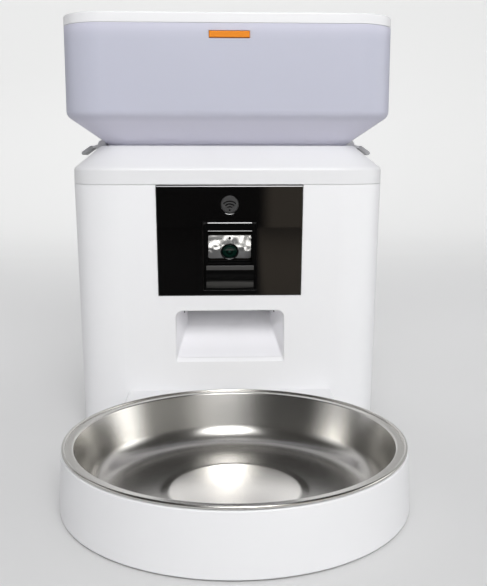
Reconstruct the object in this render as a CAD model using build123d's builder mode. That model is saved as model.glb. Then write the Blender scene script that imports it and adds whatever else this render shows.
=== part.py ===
"""Automatic pet feeder with a camera: a kibble hopper on a motor-driven dispensing wheel, over a
chute that drops each portion into a round steel bowl in a detachable tray.

Millimetres. +Z is up and the front faces -Y. The origin is on the floor, at the centre of the
footprint. Each piece is made in its own section and written to parts/ under its own name.
"""

from build123d import *
import math
import os

os.makedirs("parts", exist_ok=True)

# ------------------------------------------------------------------ driving dimensions

# clearances
fit = 0.3  # between pieces that sit next to each other
run_fit = 0.05  # radial, between a shaft or pin and what turns on it
pin_fit = 0.02  # radial, between a pin and what holds it
seat = 0.1  # between pieces fixed to each other

# bowl and tray
tray_top_r = 95.0
tray_base_r = 96.4
tray_h = 33.4
tray_wall = 2.2
tray_floor = 1.6
tray_gap = 3.2  # from the tray's wall to the body's face
neck_w = 136.0  # block that joins the tray to the body
tongue_w = 14.0
tongue_t = 3.0
tongue_reach = 9.0
tongue_z = 16.0
tongue_x = 45.0
tray_travel = 40.0
bowl_t = 0.8
bowl_lip_r = 88.5  # where the wall turns out into the flange
bowl_bead_r = 0.9
bowl_floor_r = 80.6  # where floor and wall would meet without their bend
bowl_bend_r = 15.0
bowl_lip_bend_r = 1.2
bowl_disc_r = 36.8
bowl_flange_r = 93.8
disc_rise = 0.9
disc_step = 4.2  # width of the ring that leads up to the disc
tray_foot = 0.8
pad_r = 7.0
pad_recess = 0.6

# body
body_w = 209.0
body_d = 176.0
side_draft = 3.0  # each side comes in by this towards the floor
back_draft = 3.0  # and the back by this
body_r = 32.0
wall = 2.8
floor_gap = 3.0
seam_z = 171.0
pillar_r = 5.5
pillar_hole_r = 1.6
base_t = 3.0
case_screw = 12.0

# top cover
crease_z = 181.5
cover_top_z = 196.4
shoulder_run = 18.0
shoulder_top_r = 20.0
cover_lip = 5.0
collar_h = 8.0
collar_t = 2.2

# hopper
hopper_over = 2.5  # stands out past the body on every side
hopper_r = 26.0
hopper_wall = 2.4
hopper_knee_z = 215.4
hopper_rim_z = 272.5
hopper_run = 26.0
hopper_base_r = 16.0
seat_w = 3.4  # ledge that rests on the top cover
neck_drop = 6.5
spout_top_z = 164.0
spout_z = 154.0
hopper_travel = 60.0

# lid
lid_t = 5.8
lid_skin = 2.4
lid_edge_r = 2.2
lid_crown = 2.0
crown_edge = 3.0  # where the crown starts, in from the lid's edge
crown_run = 30.0  # where it ends
crown_r = 12.0
skirt_t = 1.8
skirt_h = 5.5
seal_h = 1.6
seal_groove = 0.9
knuckle_x = 45.0
knuckle_w = 12.0
lug_w = 5.0
knuckle_r = 3.0
knuckle_out = 4.0
hinge_pin_r = 1.25
lid_key_w = 25.6
lid_key_h = 4.0
lid_key_top = 266.8
lid_key_proud = 0.8
lid_key_travel = 2.5

# desiccant holder under the lid
sachet_r = 31.0
sachet_h = 11.0
sachet_wall = 1.4

# hopper side latches
latch_w = 20.0
latch_ear_t = 3.0
latch_pin_r = 1.5
latch_out = 4.5  # pivot outside the top cover's flat
latch_rise = 1.6  # and above it
latch_barrel_r = 3.0
latch_wing_len = 17.5
latch_wing_t = 3.0
latch_wing_lift = 5.6  # degrees between the wing and the cover's shoulder
latch_nose = 3.5  # reach of the nose towards the hopper, from the pivot
latch_nose_t = 0.9
latch_gap = 0.4  # between the nose and the hopper's catch
ear_sink = 1.3  # depth of the ears' feet below the shoulder
catch_w = 16.0

# front panel, button and camera
panel_w = 96.0
panel_base_w = 94.4
panel_z = 98.2
panel_t = 2.0
panel_pocket = 1.4
button_z = 158.3
button_r = 5.7
button_travel = 0.8
bezel_w = 34.8
bezel_top_z = 146.7
bezel_base_z = 101.9
bezel_wall = 2.0
bezel_cheek = 2.9
chin_proud = 3.4
chin_top_z = 118.9
chin_break_z = 115.6
hood_lip = 0.9
brow_y = 7.0  # inner edge of the slope under the hood
brow_z = 140.8
drum_z = 131.8
drum_set = 11.5  # drum axis behind the body's face
drum_r = 11.5
drum_flat = 7.2  # drum axis to its flat face
drum_rest = 20.0  # degrees below level at rest
trunnion_r = 2.4
trunnion_len = 1.4
lens_r = 5.4
lens_ring_t = 0.5
lens_drop = 2.6  # lens below the middle of the drum's face
mic_rise = 7.3

# outlet and chute
outlet_w = 72.4
outlet_z = 53.2
outlet_top_z = 88.1
outlet_r = 5.0
outlet_low_r = 1.2
throat_w = 58.0
throat_set = 26.0
throat_z = 75.0
chute_wall = 2.2
sensor_r = 1.6
sensor_set = 20.0  # behind the face
sensor_z = 84.6

# dispenser
deck_z = 112.0
deck_t = 2.6
rotor_ahead = 6.0  # rotor axis ahead of the body's centre
well_r = 52.0
well_wall = 2.6
well_top_z = 158.0
rotor_r = 51.0
rotor_h = 33.5
rotor_hub_r = 15.0
vane_t = 2.4
vane_count = 6
shaft_r = 3.0
hub_key = 8.4  # across the flats of the shaft's hexagon
guard_t = 1.6
guard_z = 149.5
guard_angle = 84.0
port_angle = 56.0
stirrer_z = 153.0
stirrer_reach = 36.0
stirrer_nose_r = 7.0
stirrer_nose = 9.0
stirrer_tip = 11.0

# gearbox and motor
gear_module = 1.0
gear_teeth = 40
pinion_teeth = 14
gear_t = 6.0
gear_z = 87.0
backlash = 0.16
box_wall = 2.2
box_base_z = 82.0
box_h = 16.0
box_ear = 4.2  # around each of the cover's screws
box_screw = 10.0
motor_r = 12.2
motor_h = 31.0
motor_shaft_r = 1.0

# electrics
board_w = 110.0
board_h = 58.0
board_t = 1.6
speaker_r = 14.0
speaker_h = 9.0
speaker_z = 28.0
speaker_set = 3.2  # from the wall's inner face to the speaker
cell_w = 106.4  # bay for three D cells side by side
cell_d = 64.4
cell_h = 36.0
bay_wall = 2.2
cover_t = 1.8
cover_lap = 1.8
jack_r = 3.2
jack_z = 18.0
foot_r = 8.0
foot_inset_x = 23.5
foot_inset_y = 20.5
foot_recess = 1.2
bay_set = 20.0  # from the bay to the back wall
board_set = 12.0
board_gap = 5.1  # from the board to the right back pillar
speaker_gap = 10.0  # from the speaker to the left one
contact_w = 14.0
contact_h = 18.0
contact_t = 0.5
contact_button_r = 4.5
contact_proud = 1.3

# ------------------------------------------------------------------ places worked out from them

body_base_w = body_w - 2 * side_draft
body_base_d = body_d - back_draft
rim_back = hopper_over + knuckle_out + knuckle_r
total_d = tray_base_r + tray_top_r + tray_gap + body_d + rim_back
tray_y = -total_d / 2 + tray_base_r
face_y = tray_y + tray_top_r + tray_gap
body_y = face_y + body_d / 2
base_y = face_y + body_base_d / 2
back_y = face_y + body_d
rotor_y = body_y - rotor_ahead

hopper_w = body_w + 2 * hopper_over
hopper_d = body_d + 2 * hopper_over
hopper_front = body_y - hopper_d / 2
hopper_back = body_y + hopper_d / 2
hopper_base_z = cover_top_z + fit
seat_w_x = hopper_w - 2 * hopper_run
seat_w_y = hopper_d - 2 * hopper_run
neck_x = seat_w_x - 2 * seat_w
neck_y = seat_w_y - 2 * seat_w
neck_r = hopper_base_r - seat_w
neck_z = hopper_base_z - neck_drop
spout_r = well_r - 1.4
lid_z = hopper_rim_z + fit
lid_top_z = lid_z + lid_t
hinge_y = hopper_back + knuckle_out
hinge_z = lid_z + lid_t / 2 - 0.2

shoulder_slope = (cover_top_z - crease_z) / shoulder_run
latch_pivot_x = body_w / 2 - shoulder_run + latch_out
latch_pivot_z = cover_top_z + latch_rise
latch_wing_drop = math.degrees(math.atan(shoulder_slope)) - latch_wing_lift
latch_nose_z = latch_pivot_z + latch_barrel_r - 0.5
catch_x = latch_pivot_x - latch_nose - latch_gap  # outer end of the hopper's catch
catch_top_z = latch_nose_z - latch_nose_t - latch_gap

drum_y = face_y + drum_set
rotor_z = deck_z + deck_t + 0.6
gear_r = gear_module * gear_teeth / 2
pinion_r = gear_module * pinion_teeth / 2
pinion_y = rotor_y + gear_r + pinion_r
box_top_z = box_base_z + box_h
inner_r = body_r - wall
pillar_x = body_base_w / 2 - wall - inner_r + 0.62 * inner_r
pillar_front = face_y + wall + inner_r * 0.39
pillar_back = base_y + (base_y - pillar_front)
front = Plane(origin=(0, face_y, 0), x_dir=(1, 0, 0), z_dir=(0, -1, 0))


def level(z, y=0.0):
    """A horizontal plane at height z, centred y behind the origin."""
    return Plane(origin=(0, y, z))


def facing(y):
    """An upright plane at y that faces the front; its local axes are X and Z."""
    return Plane(origin=(0, y, 0), x_dir=(1, 0, 0), z_dir=(0, -1, 0))


def write(piece, name):
    """Labels a finished piece and writes its STEP file."""
    piece.part.label = name
    export_step(piece.part, f"parts/{name}.step")


def prism(w, d, r, z, z_end, y=0.0, mode=Mode.ADD):
    """An upright block with rounded corners, from z to z_end."""
    with BuildSketch(level(z, y)) as outline:
        RectangleRounded(w, d, r)
    extrude(outline.sketch, amount=z_end - z, mode=mode)


def tapered(low, high, mode=Mode.ADD):
    """A loft between two rounded rectangles, each given as (w, d, r, z, y)."""
    rows = []
    for w, d, r, z, y in (low, high):
        with BuildSketch(level(z, y)) as outline:
            RectangleRounded(w, d, r)
        rows.append(outline.sketch)
    loft(rows, mode=mode)


def block(x_from, x_to, y_from, y_to, z_from, z_to, mode=Mode.ADD):
    """A plain box given by its six faces."""
    with BuildSketch(level(z_from)) as outline:
        with Locations(((x_from + x_to) / 2, (y_from + y_to) / 2)):
            Rectangle(x_to - x_from, y_to - y_from)
    extrude(outline.sketch, amount=z_to - z_from, mode=mode)


def rod(x, y, z, r, z_end, mode=Mode.ADD):
    """An upright cylinder at (x, y), from z to z_end."""
    with BuildSketch(level(z)) as outline:
        with Locations((x, y)):
            Circle(r)
    extrude(outline.sketch, amount=z_end - z, mode=mode)


def cross_rod(y, z, r, x_from, x_to, mode=Mode.ADD):
    """A cylinder along X at (y, z), from x_from to x_to."""
    with BuildSketch(Plane.YZ.offset(x_from)) as outline:
        with Locations((y, z)):
            Circle(r)
    extrude(outline.sketch, amount=x_to - x_from, mode=mode)


def deep_rod(x, z, r, y_from, y_to, mode=Mode.ADD):
    """A cylinder along Y at (x, z), from y_from to y_to."""
    with BuildSketch(facing(y_from)) as outline:
        with Locations((x, z)):
            Circle(r)
    extrude(outline.sketch, amount=y_from - y_to, mode=mode)


def side_profile(points, x_from, x_to, mode=Mode.ADD):
    """A polygon of (y, z) points extruded along X."""
    with BuildSketch(Plane.YZ.offset(x_from)) as outline:
        with BuildLine():
            Polyline(*points, close=True)
        make_face()
    extrude(outline.sketch, amount=x_to - x_from, mode=mode)


def front_profile(points, y_from, y_to, mode=Mode.ADD):
    """A polygon of (x, z) points extruded along Y."""
    with BuildSketch(facing(y_from)) as outline:
        with BuildLine():
            Polyline(*points, close=True)
        make_face()
    extrude(outline.sketch, amount=y_from - y_to, mode=mode)


def corners():
    """The (x, y) places of the body's four corner pillars."""
    return [(sx * pillar_x, y) for sx in (-1, 1) for y in (pillar_front, pillar_back)]


# ------------------------------------------------------------------ outlet cavity
# The pocket behind the outlet: a mouth that narrows and rises to the throat, then a slope that
# climbs to the port in the dispenser's floor. The body's wall and the chute are cut by it alike.

port_front = rotor_y - rotor_r - 0.5
port_back = rotor_y - rotor_hub_r - 3.0
slope_back = port_back + 0.5
slope_rise = (deck_z - throat_z) / (slope_back - face_y - throat_set)


def outlet_mouth(y_from, grow=0.0, mode=Mode.ADD):
    """The mouth as a loft from y_from behind the face to the throat, grown outwards by grow."""
    share = y_from / throat_set
    w_from = outlet_w + (throat_w - outlet_w) * share
    z_from = outlet_z + (throat_z - outlet_z) * share
    rows = []
    for y, w, z in ((y_from, w_from, z_from), (throat_set, throat_w, throat_z)):
        h = outlet_top_z - z + 2 * grow
        with BuildSketch(facing(face_y + y)) as outline:
            with Locations((0, z - grow + h / 2)):
                Rectangle(w + 2 * grow, h)
            fillet(outline.vertices().group_by(Axis.Y)[-1], outlet_r + grow)
            fillet(outline.vertices().group_by(Axis.Y)[0], outlet_low_r + grow)
        rows.append(outline.sketch)
    loft(rows, mode=mode)


def drop_points(grow, top):
    """The side outline of the slope from the throat up to the port, grown by grow."""
    lean = grow * math.hypot(1, slope_rise) / slope_rise
    return [
        (face_y + throat_set + lean - 1.0 / slope_rise, throat_z - 1.0),
        (slope_back + lean + (top - deck_z) / slope_rise, top),
        (port_front - grow, top),
        (port_front - grow, deck_z - 6.0),
        (face_y + throat_set - 4.0, outlet_top_z + grow - 0.5),
        (face_y + throat_set - 4.0, throat_z - 1.0),
    ]


# ------------------------------------------------------------------ body shell
# One moulded shell, open at the top and the bottom, drafted towards the floor. The front wall is
# upright and holds the pocket for the front panel, the outlet and the two tray slots.

bay_y = back_y - wall - bay_set - cell_d / 2 - bay_wall
board_x = pillar_x - pillar_r - board_gap - board_w / 2
board_y = back_y - wall - board_set
board_z = 78.0
board_legs = [(board_x + sx * (board_w / 2 - 5), board_z + sz * (board_h / 2 - 5))
              for sx in (-1, 1) for sz in (-1, 1)]
speaker_x = speaker_r + speaker_gap + pillar_r - pillar_x
grille_holes = [(speaker_x, speaker_z)] + [
    (speaker_x + r * math.cos(2 * math.pi * k / n), speaker_z + r * math.sin(2 * math.pi * k / n))
    for r, n in ((4.2, 6), (8.4, 12)) for k in range(n)
]
button_legs = (-14.0, 14.0)
button_board_y = face_y + 11.0

with BuildPart() as body_shell:
    tapered(
        (body_base_w, body_base_d, body_r, floor_gap, base_y),
        (body_w, body_d, body_r, seam_z, body_y),
    )
    tapered(
        (body_base_w - 2 * wall, body_base_d - 2 * wall, inner_r, floor_gap, base_y),
        (body_w - 2 * wall, body_d - 2 * wall, inner_r, seam_z, body_y),
        mode=Mode.SUBTRACT,
    )
    for x, y in corners():
        rod(x, y, floor_gap + base_t, pillar_r, deck_z)
    for x, z in board_legs:
        deep_rod(x, z, 3.0, board_y + board_t, back_y - 3.6)
    for x in button_legs:
        deep_rod(x, button_z, 2.4, face_y + wall - 0.5, button_board_y - board_t)
    for x, y in corners():
        rod(x, y, floor_gap + base_t, pillar_hole_r, floor_gap + base_t + 14, mode=Mode.SUBTRACT)
        rod(x, y, deck_z - 14, pillar_hole_r, deck_z, mode=Mode.SUBTRACT)
    for x, z in board_legs:
        deep_rod(x, z, 1.2, board_y + board_t, back_y - 5.0, mode=Mode.SUBTRACT)
    for x in button_legs:
        deep_rod(x, button_z, 1.2, face_y + wall + 0.5, button_board_y - board_t,
                 mode=Mode.SUBTRACT)
    # pocket for the front panel, open at the seam
    half_low = panel_base_w / 2 + seat
    half_top = panel_w / 2 + seat
    front_profile(
        [(-half_low, panel_z - seat), (half_low, panel_z - seat),
         (half_top, seam_z + 1), (-half_top, seam_z + 1)],
        face_y - 1,
        face_y + panel_pocket,
        mode=Mode.SUBTRACT,
    )
    # camera opening and button hole
    block(
        -bezel_w / 2 - seat, bezel_w / 2 + seat,
        face_y - 1, face_y + wall + 1,
        bezel_base_z - seat, bezel_top_z + seat,
        mode=Mode.SUBTRACT,
    )
    deep_rod(0, button_z, button_r + fit, face_y - 1, face_y + wall + 1, mode=Mode.SUBTRACT)
    outlet_mouth(-1.0, mode=Mode.SUBTRACT)
    # slots for the tray's tongues
    for x in (-tongue_x, tongue_x):
        half = tongue_w / 2 + fit
        block(
            x - half, x + half, face_y - 1, face_y + wall + 1,
            tongue_z - tongue_t / 2 - fit, tongue_z + tongue_t / 2 + fit,
            mode=Mode.SUBTRACT,
        )
    # back wall: power inlet and speaker grille
    deep_rod(0, jack_z, jack_r + 0.9, back_y - 8, back_y + 1, mode=Mode.SUBTRACT)
    for x, z in grille_holes:
        deep_rod(x, z, 1.1, back_y - 8, back_y + 1, mode=Mode.SUBTRACT)
    # groove that the top cover's lip clicks into
    prism(
        body_w - 2 * wall + 1.2, body_d - 2 * wall + 1.2, inner_r + 0.6,
        seam_z - 4.0, seam_z - 2.4, body_y, mode=Mode.SUBTRACT,
    )
write(body_shell, "body_shell")

# ------------------------------------------------------------------ base plate
# A flat plate screwed up into the pillars, with the bay for three D cells rising from it.

tray_pads = [(sx * 56.0, tray_y + sy * 56.0) for sx in (-1, 1) for sy in (-1, 1)]
foot_places = [(sx * (body_base_w / 2 - foot_inset_x), base_y + sy * (body_base_d / 2 - foot_inset_y))
               for sx in (-1, 1) for sy in (-1, 1)]
bay_top = floor_gap + cell_h + bay_wall
plate_top = floor_gap + base_t
cell_xs = (-cell_w / 3, 0.0, cell_w / 3)

with BuildPart() as base_plate:
    plate_w = body_base_w - 2 * wall - 2 * seat
    plate_d = body_base_d - 2 * wall - 2 * seat
    prism(plate_w, plate_d, inner_r - seat, floor_gap, plate_top, base_y)
    prism(cell_w + 2 * bay_wall, cell_d + 2 * bay_wall, 4, plate_top - 1, bay_top, bay_y)
    prism(cell_w, cell_d, 2, floor_gap, floor_gap + cell_h, bay_y, mode=Mode.SUBTRACT)
    lap = 2 * cover_lap
    prism(
        cell_w + lap, cell_d + lap, 3, floor_gap, floor_gap + cover_t + fit, bay_y,
        mode=Mode.SUBTRACT,
    )
    for x, y in corners():
        rod(x, y, floor_gap, 1.9, plate_top, mode=Mode.SUBTRACT)
        rod(x, y, floor_gap, 3.2, floor_gap + 1.4, mode=Mode.SUBTRACT)
    for x, y in foot_places:
        rod(x, y, floor_gap, foot_r + seat, floor_gap + foot_recess, mode=Mode.SUBTRACT)
write(base_plate, "base_plate")

# Cover over the cells, flush with the plate, with a finger notch at its front edge.
with BuildPart() as battery_cover:
    lap = 2 * cover_lap - 2 * fit
    prism(cell_w + lap, cell_d + lap, 3 - fit, floor_gap, floor_gap + cover_t, bay_y)
    for x in (-cell_w / 3, 0, cell_w / 3):
        block(x - 0.8, x + 0.8, bay_y - cell_d / 2 + 4, bay_y + cell_d / 2 - 4,
              floor_gap + cover_t, floor_gap + cover_t + 2.4)
    rod(0, bay_y - cell_d / 2 - 2, floor_gap, 7.0, floor_gap + 0.9, mode=Mode.SUBTRACT)
write(battery_cover, "battery_cover")

# Sprung steel contacts at both ends of each cell: a plate with a raised button.
with BuildPart() as battery_contacts:
    cell_z = floor_gap + cell_h / 2
    for x in cell_xs:
        for side in (-1, 1):
            end = bay_y + side * (cell_d / 2 - seat)
            plate = end - side * contact_t
            tip = end - side * contact_proud
            block(x - contact_w / 2, x + contact_w / 2, min(end, plate), max(end, plate),
                  cell_z - contact_h / 2, cell_z + contact_h / 2)
            deep_rod(x, cell_z, contact_button_r, min(end, tip), max(end, tip))
write(battery_contacts, "battery_contacts")

with BuildPart() as body_feet:
    for x, y in foot_places:
        rod(x, y, 0, foot_r, floor_gap + foot_recess)
    fillet(body_feet.edges().filter_by(GeomType.CIRCLE).group_by(Axis.Z)[0], 0.8)
write(body_feet, "body_feet")

# ------------------------------------------------------------------ top cover
# A moulded ring: an upright band, a sloped shoulder and a flat top with the hopper's opening.
# A lip with a small bead clicks into the shell, and two pairs of ears carry the side latches.

cover_x = body_w - 2 * shoulder_run
cover_y = body_d - 2 * shoulder_run
ear_from = latch_w / 2 + fit
ear_to = ear_from + latch_ear_t
ear_in = latch_pivot_x - latch_barrel_r - 1.0
ear_out = latch_pivot_x + 2.2 * latch_barrel_r


def shoulder_z(x):
    """Height of the cover's surface over its flat and its sloped side."""
    return min(cover_top_z, crease_z + (body_w / 2 - x) * shoulder_slope)


with BuildPart() as top_cover:
    prism(body_w, body_d, body_r, seam_z, crease_z, body_y)
    tapered(
        (body_w, body_d, body_r, crease_z, body_y),
        (cover_x, cover_y, shoulder_top_r, cover_top_z, body_y),
    )
    prism(body_w - 2 * wall, body_d - 2 * wall, inner_r, seam_z, crease_z - 1, body_y,
          mode=Mode.SUBTRACT)
    tapered(
        (body_w - 2 * wall, body_d - 2 * wall, inner_r, crease_z - 1, body_y),
        (cover_x - wall, cover_y - wall, shoulder_top_r - 1, cover_top_z - wall, body_y),
        mode=Mode.SUBTRACT,
    )
    # collar around the opening
    prism(
        neck_x + 2 * fit + 2 * collar_t, neck_y + 2 * fit + 2 * collar_t, neck_r + fit + collar_t,
        cover_top_z - collar_h, cover_top_z, body_y,
    )
    prism(
        neck_x + 2 * fit, neck_y + 2 * fit, neck_r + fit,
        cover_top_z - collar_h - 1, cover_top_z + 1, body_y, mode=Mode.SUBTRACT,
    )
    # ears for the side latches
    for side in (-1, 1):
        for y in (body_y - ear_to, body_y + ear_from):
            front_profile(
                [(side * (latch_pivot_x - latch_barrel_r), latch_pivot_z),
                 (side * ear_in, shoulder_z(ear_in) - ear_sink),
                 (side * ear_out, shoulder_z(ear_out) - ear_sink),
                 (side * (latch_pivot_x + latch_barrel_r), latch_pivot_z)],
                y, y + latch_ear_t,
            )
            deep_rod(side * latch_pivot_x, latch_pivot_z, latch_barrel_r, y, y + latch_ear_t)
            deep_rod(side * latch_pivot_x, latch_pivot_z, latch_pin_r + pin_fit,
                     y, y + latch_ear_t, mode=Mode.SUBTRACT)
    # lip and bead
    lip_w = body_w - 2 * wall - 0.6
    lip_d = body_d - 2 * wall - 0.6
    prism(lip_w + 2, lip_d + 2, inner_r + 0.7, seam_z, seam_z + 3, body_y)
    prism(lip_w, lip_d, inner_r - 0.3, seam_z - cover_lip, seam_z, body_y)
    prism(lip_w + 1.2, lip_d + 1.2, inner_r + 0.3, seam_z - 3.8, seam_z - 2.6, body_y)
    prism(lip_w - 4.4, lip_d - 4.4, inner_r - 2.5, seam_z - cover_lip, seam_z + 3, body_y,
          mode=Mode.SUBTRACT)
write(top_cover, "top_cover")

with BuildPart() as latch_pins:
    for side in (-1, 1):
        deep_rod(side * latch_pivot_x, latch_pivot_z, latch_pin_r, body_y - ear_to, body_y + ear_to)
write(latch_pins, "latch_pins")


def side_latch(side):
    """A latch lever on its pin: the finger wing outside, the nose over the hopper's catch."""
    drop = math.radians(latch_wing_drop)
    along = (math.cos(drop), -math.sin(drop))
    across = (math.sin(drop) * latch_wing_t / 2, math.cos(drop) * latch_wing_t / 2)
    tip = (latch_pivot_x + along[0] * latch_wing_len, latch_pivot_z + along[1] * latch_wing_len)
    y_from = body_y - latch_w / 2
    y_to = body_y + latch_w / 2
    deep_rod(side * latch_pivot_x, latch_pivot_z, latch_barrel_r, y_from, y_to)
    front_profile(
        [
            (side * (latch_pivot_x + across[0]), latch_pivot_z + across[1]),
            (side * (tip[0] + across[0]), tip[1] + across[1]),
            (side * (tip[0] - across[0]), tip[1] - across[1]),
            (side * (latch_pivot_x - across[0]), latch_pivot_z - across[1]),
        ],
        y_from, y_to,
    )
    front_profile(
        [
            (side * latch_pivot_x, latch_nose_z),
            (side * (latch_pivot_x - latch_nose), latch_nose_z),
            (side * (latch_pivot_x - latch_nose), latch_nose_z - latch_nose_t),
            (side * latch_pivot_x, latch_pivot_z - 0.4),
        ],
        y_from + 3, y_to - 3,
    )
    deep_rod(side * latch_pivot_x, latch_pivot_z, latch_pin_r + run_fit, y_from, y_to,
             mode=Mode.SUBTRACT)


with BuildPart() as left_latch:
    side_latch(-1)
    fillet(left_latch.edges().filter_by(Axis.Y).group_by(Axis.X)[0], 1.2)
write(left_latch, "left_latch")

with BuildPart() as right_latch:
    side_latch(1)
    fillet(right_latch.edges().filter_by(Axis.Y).group_by(Axis.X)[-1], 1.2)
write(right_latch, "right_latch")

# ------------------------------------------------------------------ front panel, button, camera

panel_front = face_y + panel_pocket - panel_t

with BuildPart() as front_panel:
    front_profile(
        [(-panel_base_w / 2, panel_z), (panel_base_w / 2, panel_z),
         (panel_w / 2, seam_z - seat), (-panel_w / 2, seam_z - seat)],
        panel_front, face_y + panel_pocket,
    )
    chamfer(front_panel.faces().sort_by(Axis.Y)[0].edges(), 0.5)
    block(
        -bezel_w / 2 - seat, bezel_w / 2 + seat,
        panel_front - 1, face_y + panel_pocket + 1,
        bezel_base_z - seat, bezel_top_z + seat,
        mode=Mode.SUBTRACT,
    )
    deep_rod(0, button_z, button_r + fit, panel_front - 1, face_y + panel_pocket + 1,
             mode=Mode.SUBTRACT)
write(front_panel, "front_panel")

# Feed button: a round cap with a flange behind the wall and a stem on to the switch.
button_flange_y = face_y + wall + 0.3
switch_y = button_board_y - 4.3
with BuildPart() as feed_button:
    deep_rod(0, button_z, button_r, panel_front - 0.3, button_flange_y + 1.2)
    fillet(feed_button.faces().sort_by(Axis.Y)[0].edges(), 0.4)
    deep_rod(0, button_z, button_r + 1.4, button_flange_y, button_flange_y + 1.2)
    deep_rod(0, button_z, 1.6, button_flange_y, switch_y - button_travel - fit)
write(feed_button, "feed_button")

with BuildPart() as button_board:
    block(-18, 18, button_board_y - board_t, button_board_y, button_z - 7, button_z + 7)
    block(-3, 3, switch_y + 1.0, button_board_y - board_t, button_z - 3, button_z + 3)
    deep_rod(0, button_z, 1.7, switch_y, switch_y + 1.0)
    for x in button_legs:
        deep_rod(x, button_z, 1.4, button_board_y - board_t, button_board_y, mode=Mode.SUBTRACT)
write(button_board, "button_board")

# Camera housing: a hood above, side cheeks that carry the drum's trunnions, a cradle behind it
# and a chin below that stands out and slopes back down to the panel.
hood_y = panel_front - 0.6
chin_y = panel_front - chin_proud
bezel_back = drum_y + drum_r + 0.4 + bezel_wall
cheek = bezel_w / 2 - bezel_cheek

with BuildPart() as camera_bezel:
    side_profile(
        [
            (panel_front, bezel_base_z), (chin_y, chin_break_z), (chin_y + 0.9, chin_top_z),
            (panel_front, chin_top_z + 0.6), (panel_front, bezel_top_z - 5.0),
            (hood_y, bezel_top_z - 1.6), (hood_y, bezel_top_z), (bezel_back, bezel_top_z),
            (bezel_back, drum_z - 9), (drum_y, drum_z - drum_r - 3.2), (face_y + wall, bezel_base_z),
        ],
        -bezel_w / 2, bezel_w / 2,
    )
    cross_rod(drum_y, drum_z, drum_r + 0.4, -cheek, cheek, mode=Mode.SUBTRACT)
    side_profile(
        [
            (chin_y - 1, chin_top_z), (drum_y - 5, chin_top_z), (drum_y - 5, drum_z),
            (drum_y - 5, brow_z + 0.6), (brow_y, brow_z),
            (hood_y, bezel_top_z - hood_lip), (hood_y - 1, bezel_top_z - hood_lip),
        ],
        -cheek, cheek, mode=Mode.SUBTRACT,
    )
    cross_rod(drum_y, drum_z, trunnion_r + run_fit, -cheek - trunnion_len - fit,
              cheek + trunnion_len + fit, mode=Mode.SUBTRACT)
write(camera_bezel, "camera_bezel")

# Tilting drum: a cylinder with a flat face, turned about its own axis, and hollow behind the lens.
tilt = math.radians(drum_rest)
face_mid = Plane(
    origin=(0, drum_y - drum_flat * math.cos(tilt), drum_z - drum_flat * math.sin(tilt)),
    x_dir=(1, 0, 0),
    z_dir=(0, -math.cos(tilt), -math.sin(tilt)),
)
drum_half = cheek - fit
trunnion_to = cheek + trunnion_len
with BuildPart() as camera_drum:
    cross_rod(drum_y, drum_z, drum_r, -drum_half, drum_half)
    with BuildSketch(face_mid):
        Rectangle(bezel_w, 4 * drum_r)
    extrude(amount=drum_r, mode=Mode.SUBTRACT)
    chamfer(camera_drum.faces().sort_by(Axis.Y)[0].edges(), 0.35)
    with BuildSketch(face_mid):
        with Locations((0, -lens_drop)):
            Circle(lens_r + lens_ring_t + 0.05)
    extrude(amount=-1.6, mode=Mode.SUBTRACT)
    with BuildSketch(face_mid):
        with Locations((0, -lens_drop)):
            Circle(lens_r - 1.2)
        with Locations((0, mic_rise)):
            Circle(0.6)
    extrude(amount=-8.5, mode=Mode.SUBTRACT)
    cross_rod(drum_y, drum_z, trunnion_r, drum_half, trunnion_to)
    cross_rod(drum_y, drum_z, trunnion_r, -trunnion_to, -drum_half)
write(camera_drum, "camera_drum")

with BuildPart() as camera_lens:
    with BuildSketch(face_mid.offset(-1.55)):
        with Locations((0, -lens_drop)):
            Circle(lens_r - 0.05)
    extrude(amount=1.2)
    fillet(camera_lens.edges().filter_by(GeomType.CIRCLE).sort_by(Axis.Y)[0], 0.5)
write(camera_lens, "camera_lens")

with BuildPart() as lens_ring:
    with BuildSketch(face_mid.offset(-1.55)):
        with Locations((0, -lens_drop)):
            Circle(lens_r + lens_ring_t)
            Circle(lens_r, mode=Mode.SUBTRACT)
    extrude(amount=1.75)
write(lens_ring, "lens_ring")

with BuildPart() as camera_module:
    with BuildSketch(face_mid.offset(-8.0)):
        with Locations((0, -lens_drop)):
            Circle(lens_r - 1.6)
    extrude(amount=6.2)
write(camera_module, "camera_module")

# ------------------------------------------------------------------ dispenser
# The well: a deck on the four pillars, a round wall around the wheel and the discharge port.

deck_top_z = deck_z + deck_t
deck_share = (deck_z - floor_gap) / (seam_z - floor_gap)
deck_w = body_base_w + (body_w - body_base_w) * deck_share - 2 * wall - 2 * fit
deck_d = body_base_d + (body_d - body_base_d) * deck_share
deck_y = face_y + deck_d / 2
gearbox_legs = [(sx * 29.0, y) for sx in (-1, 1) for y in (rotor_y - 8.0, pinion_y + 10.0)]

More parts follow.
